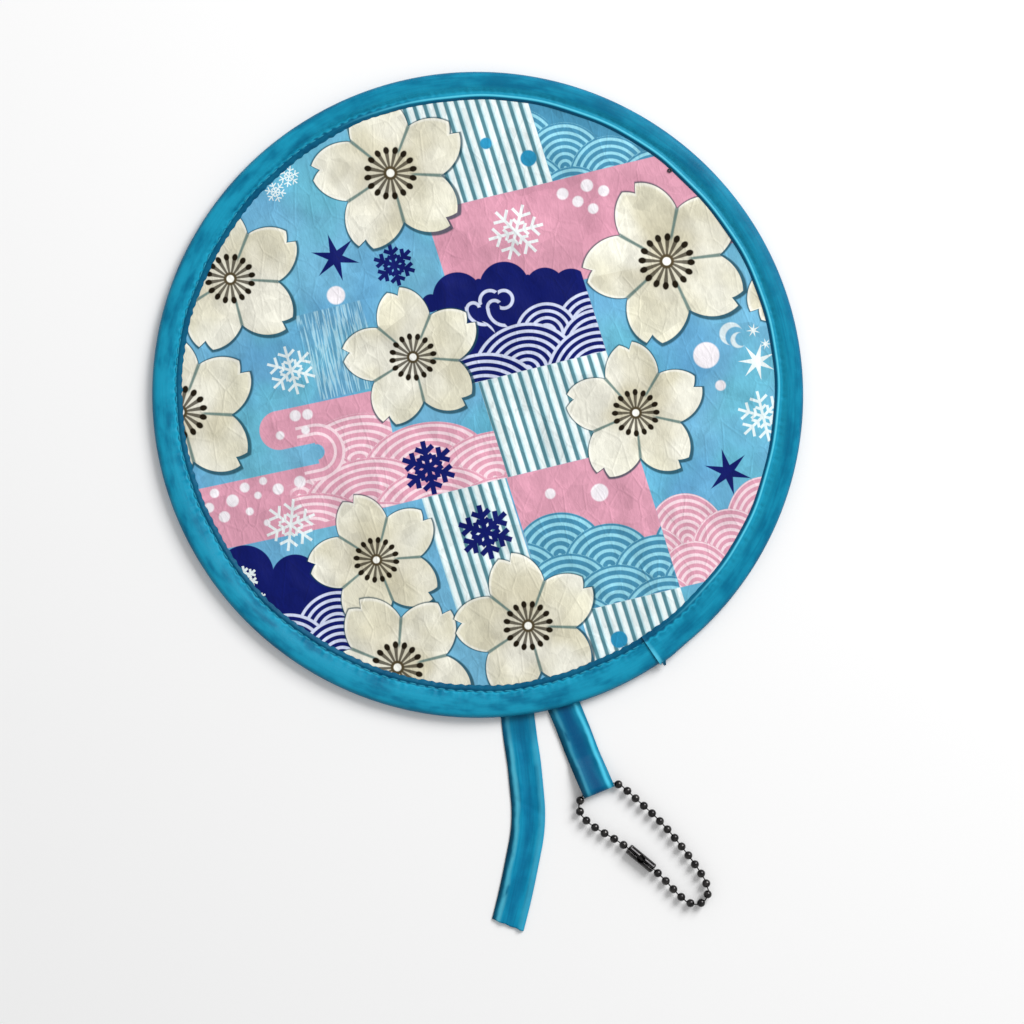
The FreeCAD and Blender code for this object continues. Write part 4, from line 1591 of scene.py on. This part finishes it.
@dataclass
class RimBinding(Assembly):
    """The satin tape round the hoop, sewn down along its inner lip, with a lapped end."""

    tape_width: float = 22.5
    tube_radius: float = 1.9
    tube_centre: float = 98.1
    tube_points: int = 15
    stations: int = 1544
    measured_point: int = 30
    lap_length: float = 9.0
    lap_lift: float = 0.34
    lap_press: float = 0.14
    lap_stations: int = 40
    lap_ahead: float = 0.004
    seam_half: float = 0.45
    smooth_fill: float = 0.3
    stitch_dip: float = 0.12
    beside_seam: Pair = (92.6, 0.9)
    pull_height: float = 0.06
    lip_edge: Pair = (89.9, 0.6)
    edge_scallop: float = 0.14
    edge_pull: float = 0.05
    swell_height: float = 0.06
    swell_cycles: tuple[int, ...] = (5, 7, 11, 17, 26, 39)
    pull_cycles: tuple[int, ...] = (97, 151, 193, 241, 307)
    hoop_rise: Pair = (91.5, 96.0)
    tube_rise: Pair = (94.0, 96.5)
    proud_rise: Pair = (97.0, 99.5)
    seat_rise: Pair = (-7.2, -5.8)
    tie_seat: float = 0.34
    tab_seat: float = 0.64
    corner_cells: tuple[int, int] = (7, 6)
    corner_start: float = 98.4
    corner_reach: float = 2.7
    corner_thickness: float = 0.14
    corner_turn: Pair = (0.021, -0.014)
    corner_top: float = 1.95
    corner_drop: float = 1.7
    corner_ripple: float = 0.16
    seed: int = 5
    lip: tuple[Pair, ...] = (
        (89.7, 0.1), (89.82, 0.22), (90.08, 0.42), (90.36, 0.64), (90.68, 0.78), (91.0, 0.76), (91.25, 0.64),
        (91.45, 0.52), (91.6, 0.48), (91.8, 0.52), (92.05, 0.64), (92.4, 0.82), (93.0, 1.08), (93.7, 1.32),
        (94.6, 1.58), (95.6, 1.77), (96.5, 1.86), (97.3, 1.9),
    )

    def section(self) -> Array:
        """Gives the tape's section from the front lip round the rim to the back lip.

        Returns:
            Radius and height over the middle, one row for each point.
        """
        front = np.array(self.lip)
        turn = np.radians(np.linspace(90.0, -90.0, self.tube_points))
        beyond, over = self.tube_radius * np.cos(turn), self.tube_radius * np.sin(turn)
        outer = np.stack((self.tube_centre + beyond, over), axis=-1)
        back = front[::-1] * (1, -1)
        return np.concatenate((front, outer, back))

    def surface(self, angles: Array, proud: Array) -> Array:
        """Gives the tape's surface with its puckers and creases.

        Args:
            angles: Places round the rim, in radians.
            proud: How far each place stands off the section.

        Returns:
            Places, by angle and point of the section.
        """
        chance = np.random.default_rng(self.seed)
        section = self.section()
        inner = section[:, 0]
        radius = np.repeat(section[None, :, 0], len(angles), axis=0)
        height = np.repeat(section[None, :, 1], len(angles), axis=0)
        sign = np.sign(height)
        swell, pull = np.zeros_like(angles), np.zeros_like(angles)
        for cycles in self.swell_cycles:
            strength = chance.normal() * self.swell_height
            swell += strength * np.sin(cycles * angles + chance.uniform(0, math.tau))
        for cycles in self.pull_cycles:
            pull += chance.uniform(0.3, 1.0) * np.sin(cycles * angles + chance.uniform(0, math.tau))
        toward_hoop = window(radius, *self.hoop_rise)
        radius += (1 - toward_hoop) * RIM_SHAPE.lip_shift(angles)[:, None]
        radius += toward_hoop * RIM_SHAPE.hoop_shift(angles)[:, None]
        stitch = np.cos(angles * STITCHES)
        sewn = RIM_SHAPE.sewn(angles)
        dip = self.smooth_fill * (1 - sewn) - self.stitch_dip * sewn * np.clip(stitch, 0, 1) ** 2
        height += sign * bell(inner, SEAM_RADIUS, self.seam_half)[None, :] * dip[:, None]
        height += sign * bell(inner, *self.beside_seam)[None, :] * self.pull_height * pull[:, None]
        scallop = sewn * (self.edge_scallop * stitch + self.edge_pull * pull)
        radius += bell(inner, *self.lip_edge)[None, :] * scallop[:, None]
        height += sign * window(radius, *self.tube_rise) * np.minimum(swell, 0.0)[:, None]
        radius = radius + proud[:, None] * window(radius, *self.proud_rise)
        height = height + sign * proud[:, None]
        points = ring_points(radius, angles[:, None], height + RIM_MIDDLE)
        self.seat_tails(points)
        return points

    def press_back(self, points: Array, lowest: Array) -> None:
        """Presses the tape's back in, to no lower than the given heights."""
        height = points[..., 2]
        points[..., 2] = np.where(height < RIM_MIDDLE, np.maximum(height, lowest), height)

    def seat_tails(self, points: Array) -> None:
        """Presses the tape's back in where the tails are sewn on.

        Args:
            points: Places of the tape.
        """
        tails = ((TIE_HINGE, TIE_WIDTH / 2, self.tie_seat), (TAB_HINGE, TAB_WIDTH / 2, self.tab_seat))
        for hinge, half_width, top in tails:
            outward, sideways = hinge.local(points)
            beside = window(np.abs(sideways), half_width + 0.1, half_width + 1.2)
            self.press_back(points, top * ((1 - beside) * window(outward, *self.seat_rise)))

    def runs(self, points: Array) -> Array:
        """Gives the places on the tape, along it and across it.

        Args:
            points: The tape's surface.

        Returns:
            Two numbers for each point, in millimetres.
        """
        along = run_lengths(points[:, self.measured_point])
        across = run_lengths(self.section())
        across = across[-1] / 2 - np.abs(across - across[-1] / 2)
        return np.stack(np.broadcast_arrays(along[:, None], across[None, :]), axis=-1).reshape(-1, 2)

    def under_lap(self, turn: Array) -> Array:
        """Gives how far the lap presses in the back of the tape that it covers.

        Args:
            turn: Angles past the start of the tape, in radians.

        Returns:
            The heights.
        """
        reach = self.lap_length / self.tube_centre
        start = 1 - window(turn, 0.6 * reach, 1.02 * reach)
        return self.lap_press * (start + window(turn, math.tau - 0.012, math.tau - 0.006))

    def strip(self, name: str, angles: Array, proud: Array, pressed: Array) -> Piece:
        """Makes a length of the tape.

        Args:
            name: The piece's name.
            angles: Places round the rim, in radians.
            proud: How far each place stands off the section.
            pressed: How far the back is pressed in at each place.

        Returns:
            The object.
        """
        points = self.surface(angles, proud)
        self.press_back(points, pressed[:, None])
        shell = Shell()
        shell.add(points.reshape(-1, 3), grid_faces(*points.shape[:2]), self.runs(points))
        made = shell.piece(name, RIM_SATIN)
        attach(made, "fan")
        self.pieces.append(made)
        return made

    def build(self) -> None:
        """Makes the tape and its lapped end."""
        angles = np.linspace(SEAM_ANGLE, SEAM_ANGLE + math.tau, self.stations)
        tape = self.strip("rim_tape", angles, np.zeros_like(angles), self.under_lap(angles - SEAM_ANGLE))
        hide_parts("rim_binding")
        reach = self.lap_length / self.tube_centre
        angles = np.linspace(SEAM_ANGLE - self.lap_ahead, SEAM_ANGLE + reach, self.lap_stations)
        share = np.linspace(0.0, 1.0, self.lap_stations)
        proud = self.lap_lift * (1 - window(share, 0.35, 1.0)) + 0.25 * np.exp(-share * 14) + 0.03
        lap = self.strip("rim_tape_lap", angles, proud, np.zeros_like(angles))
        corner = self.raw_corner()

    def raw_corner(self) -> Piece:
        """Makes the corner of the tape's cut end, which stands out past the rim.

        Returns:
            The object.
        """
        steps = [np.linspace(0.0, 1.0, count) for count in self.corner_cells]
        out, turn = np.meshgrid(*steps, indexing="ij")
        radius = self.corner_start + out * self.corner_reach
        angle = SEAM_ANGLE + self.lap_ahead + turn * (self.corner_turn[0] + self.corner_turn[1] * out)
        height = RIM_MIDDLE + self.corner_top - self.corner_drop * out**1.6
        height = height + self.corner_ripple * np.sin(7 * turn + 3 * out)
        upper = ring_points(radius, angle, height)
        points, faces = flat_sleeve(upper, upper - self.corner_thickness * UPWARD)
        shell = Shell()
        shell.add(points, faces, points[:, :2])
        made = shell.piece("rim_tape_corner", RIM_SATIN)
        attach(made, "fan")
        self.pieces.append(made)
        return made


@dataclass
class LipStitches(Assembly):
    """The lock stitches along the binding's lip, and the tacks that hold the tails."""

    lip_height: float = 0.42
    length: float = 2.35
    thread: float = 0.19
    thread_ends: tuple[float, ...] = (0.55, 0.9, 1.0, 1.0, 1.0, 0.9, 0.55)
    thread_sides: int = 8
    rise: float = 0.12
    end_dip: float = 0.3
    smooth_depth: float = 0.3
    turn_jitter: float = 0.0012
    place_jitter: float = 0.06
    slant_jitter: float = 0.12
    tack_rows: Pair = (-4.6, -2.0)
    tack_pitch: float = 2.3
    tack_length: float = 1.9
    knot_angle: float = math.radians(37.5)
    knot_inside: float = 2.2
    knot_turn: float = 4.6 * math.pi
    knot_thread: float = 0.17
    seed: int = 3

    def stitch(self, shell: Shell, line: Array) -> None:
        """Adds one stitch along a line."""
        shell.add(*tube(line, np.array(self.thread_ends) * self.thread, self.thread_sides))

    def build(self) -> None:
        """Makes both seams, the tacks and the knot."""
        chance = np.random.default_rng(self.seed)
        share = np.linspace(-0.5, 0.5, len(self.thread_ends))
        for side in Side:
            shell = Shell()
            for number in range(STITCHES):
                angle = (number + 0.5) * math.tau / STITCHES + chance.normal() * self.turn_jitter
                turn = angle + share * self.length / SEAM_RADIUS
                radius = SEAM_RADIUS + RIM_SHAPE.lip_shift(turn)
                radius = radius + chance.normal() * self.place_jitter
                radius = radius + share * chance.normal() * self.slant_jitter
                sunk = self.smooth_depth * (1 - RIM_SHAPE.sewn(turn))
                height = self.lip_height + self.rise - sunk - self.end_dip * (2 * share) ** 6
                self.stitch(shell, ring_points(radius, turn, RIM_MIDDLE + side.value * height))
            seam = shell.piece(f"{side.name.lower()}_stitches", SEAM_THREAD)
            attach(seam, "fan")
            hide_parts("seam_thread")
            self.pieces.append(seam)
        self.build_tacks(share)
        self.build_knot()

    def build_knot(self) -> None:
        """Makes the small dark knot of thread left at the lip."""
        angle = self.knot_angle
        radius = SEAM_RADIUS - self.knot_inside + float(RIM_SHAPE.lip_shift(np.array(angle)))
        turn = np.linspace(0.0, self.knot_turn, 60)
        loop = 0.5 + 0.16 * np.sin(turn * 0.7)
        x = radius * math.cos(angle) + loop * np.cos(turn)
        y = radius * math.sin(angle) + 0.8 * loop * np.sin(turn)
        z = RIM_MIDDLE + self.lip_height + 0.14 * np.sin(turn * 1.7)
        shell = Shell()
        shell.add(*tube(np.stack((x, y, z), axis=-1), np.full(len(turn), self.knot_thread), 6))
        knot = shell.piece("thread_knot", KNOT_THREAD)
        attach(knot, "fan")
        self.pieces.append(knot)

    def build_tacks(self, share: Array) -> None:
        """Makes the two rows of stitches across each tail's sewn end.

        Args:
            share: Places along one stitch.
        """
        shell = Shell()
        for hinge, half_width in ((TIE_HINGE, TIE_WIDTH / 2), (TAB_HINGE, TAB_WIDTH / 2)):
            for outward in self.tack_rows:
                for place in np.arange(-half_width + 1.5, half_width - 0.9, self.tack_pitch):
                    sideways = place + share * self.tack_length
                    height = 0.03 + self.end_dip * (2 * share) ** 6
                    self.stitch(shell, hinge.world(np.full(len(share), outward), sideways, height))
        tacks = shell.piece("tail_tacks", SEAM_THREAD)
        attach(tacks, "fan")
        self.pieces.append(tacks)


@dataclass
class TieRibbon(Assembly):
    """The long tail: a folded satin tape that bends sideways to a slanted, cut end."""

    upper: float = 25.0
    bend: float = math.radians(20.0)
    bend_radius: float = 42.0
    lower: float = 24.0
    slant: float = 1.6
    thickness: float = 0.28
    edge_thickness: float = 0.02
    puff: float = 0.32
    fold: float = 0.34
    ridge: float = 0.3
    dent: float = 0.16
    creases: tuple[tuple[float, ...], ...] = ((0.2, 27.0, -3.4, 0.9), (0.16, 40.0, 2.2, 1.0))
    free_rise: Pair = (4.0, 12.0)
    waver: float = 0.22
    waver_rise: Pair = (5.0, 15.0)
    stations: int = 130
    columns: int = 23

    def centre(self, run: Array, side: Array) -> tuple[Array, Array]:
        """Follows the tape's line in its plane.

        Args:
            run: Distances along the tape from the hinge.
            side: Distances from its line, to the left seen from above its root.

        Returns:
            Distances outwards and sideways from the hinge.
        """
        turned = np.clip((run - self.upper) / self.bend_radius, 0.0, self.bend)
        past = np.maximum(run - self.upper - self.bend * self.bend_radius, 0.0)
        before = np.minimum(run, self.upper)
        outward = before + (self.bend_radius + side) * np.sin(turned) + past * np.cos(turned)
        sideways = (self.bend_radius + side) * np.cos(turned) - self.bend_radius - past * np.sin(turned)
        return outward, sideways

    def top(self, run: Array, share: Array) -> Array:
        """Gives the height of the tape's upper side.

        Args:
            run: Distances along the tape.
            share: Places across it, from -1 to 1.

        Returns:
            The heights.
        """
        free = window(run, *self.free_rise)
        fold = self.fold * bell(share, 0.1 * np.sin(run / 9.0) - 0.42, 0.17)
        ridge = self.ridge * bell(share, 0.8, 0.16)
        dent = self.dent * bell(share, 0.2 - 0.15 * np.sin(run / 13.0), 0.3)
        ripple = 0.05 * np.sin(run * 1.1 + 2.0 * share) * np.sin(run * 0.37)
        soft = self.puff + fold + ridge - dent + ripple
        for depth, place, lean, half in self.creases:
            soft = soft - depth * np.exp(-np.abs(run - place + lean * share) / half)
        flat = self.thickness - self.edge_thickness
        return self.edge_thickness + rolled_edges(share) * (flat + free * soft)

    def build(self) -> None:
        """Makes the tie as one closed, flattened sleeve of tape."""
        share = tape_shares(self.columns)
        total = self.upper + self.bend * self.bend_radius + self.lower
        steps = np.linspace(0.0, 1.0, self.stations)[:, None]
        ends = total + self.slant * (share + 1) / 2 - 0.5 * np.clip(share - 0.75, 0, 1)
        ends = ends + 0.12 * np.sin(share * 9)
        run = -TAIL_ROOT + steps * (ends + TAIL_ROOT)[None, :]
        side = np.broadcast_to(share * TIE_WIDTH / 2, run.shape)
        waver = self.waver * np.sin(run / 7.0) * window(run, *self.waver_rise)
        outward, sideways = self.centre(run, side + waver)
        upper = TIE_HINGE.world(outward, sideways, self.top(run, np.broadcast_to(share, run.shape)))
        lower = TIE_HINGE.world(outward, sideways, np.full_like(run, 0.01))
        shell = Shell()
        shell.add(*flat_sleeve(upper, lower), sleeve_runs(run, side))
        tie = shell.piece("tie_ribbon", TIE_SATIN)
        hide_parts("tie_root", "tie_tail")
        TIE_HINGE.blend(tie, HINGE_BEND)
        self.pieces.append(tie)


@dataclass
class LoopTab(Assembly):
    """The short tail: tape doubled round the chain and sewn to itself."""

    reach: float = 25.2
    eye_radius: float = 1.5
    eye_height: float = 1.65
    taper: float = math.radians(15.0)
    layer: float = 0.3
    thickness: float = 0.27
    puff: float = 0.28
    ridge: float = 0.42
    fold: float = 0.3
    free_rise: Pair = (4.5, 11.0)
    eye_fall: float = 8.0
    waver: float = 0.12
    columns: int = 21
    under_points: int = 70
    eye_points: int = 22
    slope_points: int = 16
    back_points: int = 60

    def line(self) -> Array:
        """Gives the middle line of the tape, from the end of its lower layer round to its upper layer.

        Returns:
            Distances outwards and heights, one row for each point.
        """
        low = self.layer / 2
        high = low + self.layer
        under = np.linspace((-TAIL_ROOT, low), (self.reach, low), self.under_points)
        turn = np.linspace(-math.pi / 2, math.pi / 2 + self.taper, self.eye_points)[1:]
        eye = np.stack((np.cos(turn), np.sin(turn)), axis=-1) * self.eye_radius
        eye = eye + (self.reach, self.eye_height)
        drop = (eye[-1, 1] - high) / math.tan(self.taper)
        slope = np.linspace(0.0, 1.0, self.slope_points)[1:, None] * (-drop, high - eye[-1, 1]) + eye[-1]
        back = np.linspace((slope[-1, 0], high), (-TAIL_ROOT, high), self.back_points)[1:]
        line = np.concatenate((under, eye, slope, back))
        for _ in range(2):
            line[1:-1] = (line[:-2] + 2 * line[1:-1] + line[2:]) / 4
        return line

    def swell(self, run: Array, outward: Array, share: Array) -> Array:
        """Gives how far the upper layer stands off its flat line.

        Args:
            run: Distances along the tape.
            outward: Distances from the hinge.
            share: Places across the tape, from -1 to 1.

        Returns:
            The heights.
        """
        upper = window(run, run.max() * 0.5, run.max() * 0.5 + 3.0)
        free = window(outward, *self.free_rise)
        free = free * (1 - window(outward, self.reach - self.eye_fall, self.reach))
        ridge = self.ridge * bell(share, 0.74, 0.17)
        fold = self.fold * bell(share, -0.62, 0.16)
        dent = 0.12 * np.sin(outward * 0.55 + 2.2 * share)
        return upper * free * (self.puff + ridge + fold + dent) * rolled_edges(share)

    def build(self) -> None:
        """Makes the tab as one closed strip of tape."""
        line = self.line()
        run = run_lengths(line)
        tangent = unit(np.gradient(line, axis=0))
        outer = np.stack((tangent[:, 1], -tangent[:, 0]), axis=-1)
        share = tape_shares(self.columns)
        grid_run = np.broadcast_to(run[:, None], (len(line), self.columns))
        grid_share = np.broadcast_to(share[None, :], grid_run.shape)
        outward = np.broadcast_to(line[:, :1], grid_run.shape)
        swell = self.swell(grid_run, outward, grid_share)
        across = grid_share * TAB_WIDTH / 2
        waver = self.waver * np.sin(grid_run / 4.0)
        sides = []
        for offset in (self.thickness / 2, -self.thickness / 2):
            places = line[:, None, :] + outer[:, None, :] * (offset + swell)[..., None]
            sides.append(TAB_HINGE.world(places[..., 0], across + waver, places[..., 1]))
        shell = Shell()
        shell.add(*flat_sleeve(*sides), sleeve_runs(grid_run, across))
        tab = shell.piece("loop_tab_tape", TAB_SATIN)
        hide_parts("tab_root", "loop_tab")
        TAB_HINGE.blend(tab, HINGE_BEND)
        self.pieces.append(tab)


@dataclass(frozen=True)
class Link:
    """A solid of the chain: its middle and the direction it lies in."""

    middle: Array
    axis: Array


@dataclass
class BallChain(Assembly):
    """The chain: hollow balls on headed pins, closed by a slotted sleeve."""

    ball: float = 1.28
    ball_sides: int = 28
    hole: float = 0.33
    gap: float = 0.84
    shank: float = 0.21
    pin_head: float = 0.34
    pin_sides: int = 10
    sleeve_radius: float = 1.6
    sleeve_wall: float = 0.25
    sleeve_half: float = 5.0
    sleeve_mouth: float = 0.6
    sleeve_corner: float = 0.45
    sleeve_columns: int = 40
    slot: float = 0.36
    entry: float = 1.275
    weld: float = 1e-7

    def links(self, node: str) -> list[Link]:
        """Finds the solids of a node.

        Args:
            node: The node's name.

        Returns:
            One link for each solid.
        """
        work = bmesh.new()
        work.from_mesh(frame["nodes"][node].data)
        bmesh.ops.remove_doubles(work, verts=work.verts, dist=self.weld)
        seen = set()
        found = []
        for first in work.verts:
            if first in seen:
                continue
            seen.add(first)
            stack, solid = [first], []
            while stack:
                corner = stack.pop()
                solid.append(tuple(corner.co))
                near = [edge.other_vert(corner) for edge in corner.link_edges]
                fresh = [other for other in near if other not in seen]
                seen.update(fresh)
                stack.extend(fresh)
            points = np.array(solid) / MM
            middle = (points.min(axis=0) + points.max(axis=0)) / 2
            spread = np.linalg.svd(points - middle, full_matrices=False)[2][0]
            found.append(Link(middle, spread))
        work.free()
        return found

    def lathe(self, profile: Array, link: Link, sides: int) -> tuple[Array, Faces]:
        """Turns a closed profile about a link's axis.

        Args:
            profile: Places along the axis and radii, one row each.
            link: The link.
            sides: Faces round the axis.

        Returns:
            The points and faces.
        """
        axis = unit(link.axis)
        level, upright = across_axis(axis)
        turn = np.arange(sides) * math.tau / sides
        rim = np.cos(turn)[:, None] * level + np.sin(turn)[:, None] * upright
        points = link.middle + profile[:, 0, None, None] * axis + profile[:, 1, None, None] * rim
        return points.reshape(-1, 3), grid_faces(len(profile), sides, closed=True)

    def ball_profile(self) -> Array:
        """Gives a ball's outside with its two holes turned a little inwards.

        Returns:
            Places along the axis and radii, one row each.
        """
        limit = math.acos(self.hole / self.ball)
        turn = np.linspace(-limit, limit, 15)
        outside = np.stack((np.sin(turn), np.cos(turn)), axis=-1) * self.ball
        end = outside[0, 0]
        lip = np.array(((end + 0.16, self.hole - 0.02), (end + 0.3, self.hole + 0.16)))
        return np.concatenate((lip[::-1], outside, lip * (-1, 1)))

    def pin_profile(self) -> Array:
        """Gives a pin's shank with a slight waist, from inside one ball to inside the next.

        Returns:
            Places along the axis and radii, one row each.
        """
        half = self.gap / 2 + 0.3
        along = np.linspace(-half, half, 9)
        radius = self.shank * (0.92 + 0.1 * (along / half) ** 2)
        ends = np.array(((-half - 0.25, self.pin_head), (half + 0.25, self.pin_head)))
        return np.concatenate((ends[:1], np.stack((along, radius), axis=-1), ends[1:]))

    def build(self) -> None:
        """Makes the rows of the chain and the sleeve."""
        sleeve = self.links("chain_connector")[0]
        pins = {row: self.links(f"chain_{row.value}_pins") for row in ChainRow}
        joints = [pin.middle for row in ChainRow for pin in pins[row]] + [sleeve.middle]
        for row in ChainRow:
            shell = Shell()
            for ball in self.links(f"chain_{row.value}_beads"):
                near = sorted(joints, key=lambda place: np.linalg.norm(place - ball.middle))[:2]
                turned = Link(ball.middle, near[1] - near[0])
                shell.add(*self.lathe(self.ball_profile(), turned, self.ball_sides))
            for pin in pins[row]:
                shell.add(*self.lathe(self.pin_profile(), pin, self.pin_sides))
            made = shell.piece(f"chain_{row.value}", BLACK_NICKEL)
            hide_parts(f"chain_{row.value}_beads", f"chain_{row.value}_pins")
            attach(made, f"chain_{row.value}")
            self.pieces.append(made)
        self.build_sleeve(sleeve)

    def build_sleeve(self, sleeve: Link) -> None:
        """Makes the sleeve: a rolled sheet with a slot along it that widens for the ball.

        Args:
            sleeve: The sleeve's place and direction.
        """
        corner = self.sleeve_corner
        straight = np.linspace(-self.sleeve_half + corner, self.sleeve_half - corner, 61)
        bend = np.linspace(0.0, math.pi / 2, 8)
        end_radius = self.sleeve_radius - corner * (1 - np.cos(bend))
        end_along = straight[-1] + corner * np.sin(bend)
        along = np.concatenate((-end_along[::-1], straight, end_along))
        radius = np.concatenate((end_radius[::-1], np.full(len(straight), self.sleeve_radius), end_radius))
        along = np.concatenate((along[:1], along, along[-1:]))
        radius = np.concatenate(([self.sleeve_mouth], radius, [self.sleeve_mouth]))
        round_entry = np.sqrt(np.clip(self.entry**2 - along**2, 0.0, None))
        gap = np.arcsin(np.clip(np.maximum(self.slot, round_entry) / np.maximum(radius, 0.7), 0.0, 0.95))
        axis = unit(sleeve.axis)
        level = np.cross(axis, UPWARD)
        share = np.linspace(0.0, 1.0, self.sleeve_columns)[None, :]
        turn = gap[:, None] + share * (math.tau - 2 * gap[:, None])
        rim = np.sin(turn)[..., None] * level + np.cos(turn)[..., None] * UPWARD
        sides = []
        for wall in (0.0, self.sleeve_wall):
            places = (along * (1 - wall / self.sleeve_half))[:, None, None]
            radii = np.maximum(radius - wall, self.sleeve_mouth)[:, None, None]
            sides.append(sleeve.middle + places * axis + radii * rim)
        shell = Shell()
        shell.add(*flat_sleeve(*sides))
        made = shell.piece("chain_sleeve", BLACK_NICKEL)
        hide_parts("chain_connector")
        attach(made, "connector")
        self.pieces.append(made)


@dataclass
class HoopWire(Assembly):
    """The spring wire and its crimped sleeve, which the binding hides."""

    nodes: tuple[str, ...] = ("hoop_wire", "hoop_ferrule")

    def build(self) -> None:
        """Takes the two solids of the frame as they are, with its plain metals."""
        self.pieces.extend(frame["nodes"][node] for node in self.nodes)


@dataclass
class Studio(Assembly):
    """The floor, the soft light, the even sky and the camera straight above."""

    floor_size: float = 4000.0
    floor_height: float = -0.3
    aim: Pair = (2.9, -37.26)
    view_width: float = 315.08
    turn: float = math.radians(-12.0)
    lens: float = 100.0
    sensor: float = 36.0
    subject_height: float = 2.0
    key_place: Triple = (0.9, 0.58, 0.9)
    key_size: float = 0.7
    key_power: float = 17.5
    sky_strength: float = 0.5

    def build(self) -> None:
        """Makes the studio."""
        self.build_floor()
        self.build_lights()
        self.build_camera()

    def build_floor(self) -> None:
        """Makes the plain pale floor."""
        half = self.floor_size / 2
        corners = np.array([(-half, -half, 0), (half, -half, 0), (half, half, 0), (-half, half, 0)])
        shell = Shell()
        shell.add(corners + (0.0, 0.0, self.floor_height), [(0, 1, 2, 3)])
        floor = shell.piece("studio_floor", FLOOR)

    def build_lights(self) -> None:
        """Makes the square key light at the upper right and an even sky."""
        data = bpy.data.lights.new("key_light", "AREA")
        data.size, data.energy = self.key_size, self.key_power
        light = bpy.data.objects.new("key_light", data)
        light.location = self.key_place
        light.rotation_euler = (-Vector(self.key_place)).to_track_quat("-Z", "Y").to_euler()
        bpy.context.scene.collection.objects.link(light)
        world = bpy.data.worlds.new("studio_sky")
        world.use_nodes = True
        background = world.node_tree.nodes["Background"]
        background.inputs["Color"].default_value = (1.0, 1.0, 1.0, 1.0)
        background.inputs["Strength"].default_value = self.sky_strength
        bpy.context.scene.world = world
        bpy.context.scene.view_settings.view_transform = "Standard"

    def build_camera(self) -> None:
        """Makes the camera."""
        data = bpy.data.cameras.new("photo_view")
        data.lens = self.lens
        data.sensor_width = self.sensor
        camera = bpy.data.objects.new("photo_view", data)
        distance = self.view_width * self.lens / self.sensor + self.subject_height
        camera.location = (self.aim[0] * MM, self.aim[1] * MM, distance * MM)
        camera.rotation_euler = (0.0, 0.0, self.turn)
        bpy.context.scene.collection.objects.link(camera)
        bpy.context.scene.camera = camera


def main() -> None:
    """Builds the fan's sub-assemblies in order, and the studio round them."""
    logging.basicConfig(level=logging.INFO, format="%(name)s: %(message)s")
    for kind in (Studio, PrintedPanel, HoopWire, RimBinding, LipStitches, TieRibbon, LoopTab, BallChain):
        assembly = kind()
        assembly.build()
        for piece in assembly.pieces:
            LOG.info("%s: %s with %d faces", kind.__name__, piece.name, len(piece.data.polygons))


if __name__ == "__main__":
    main()
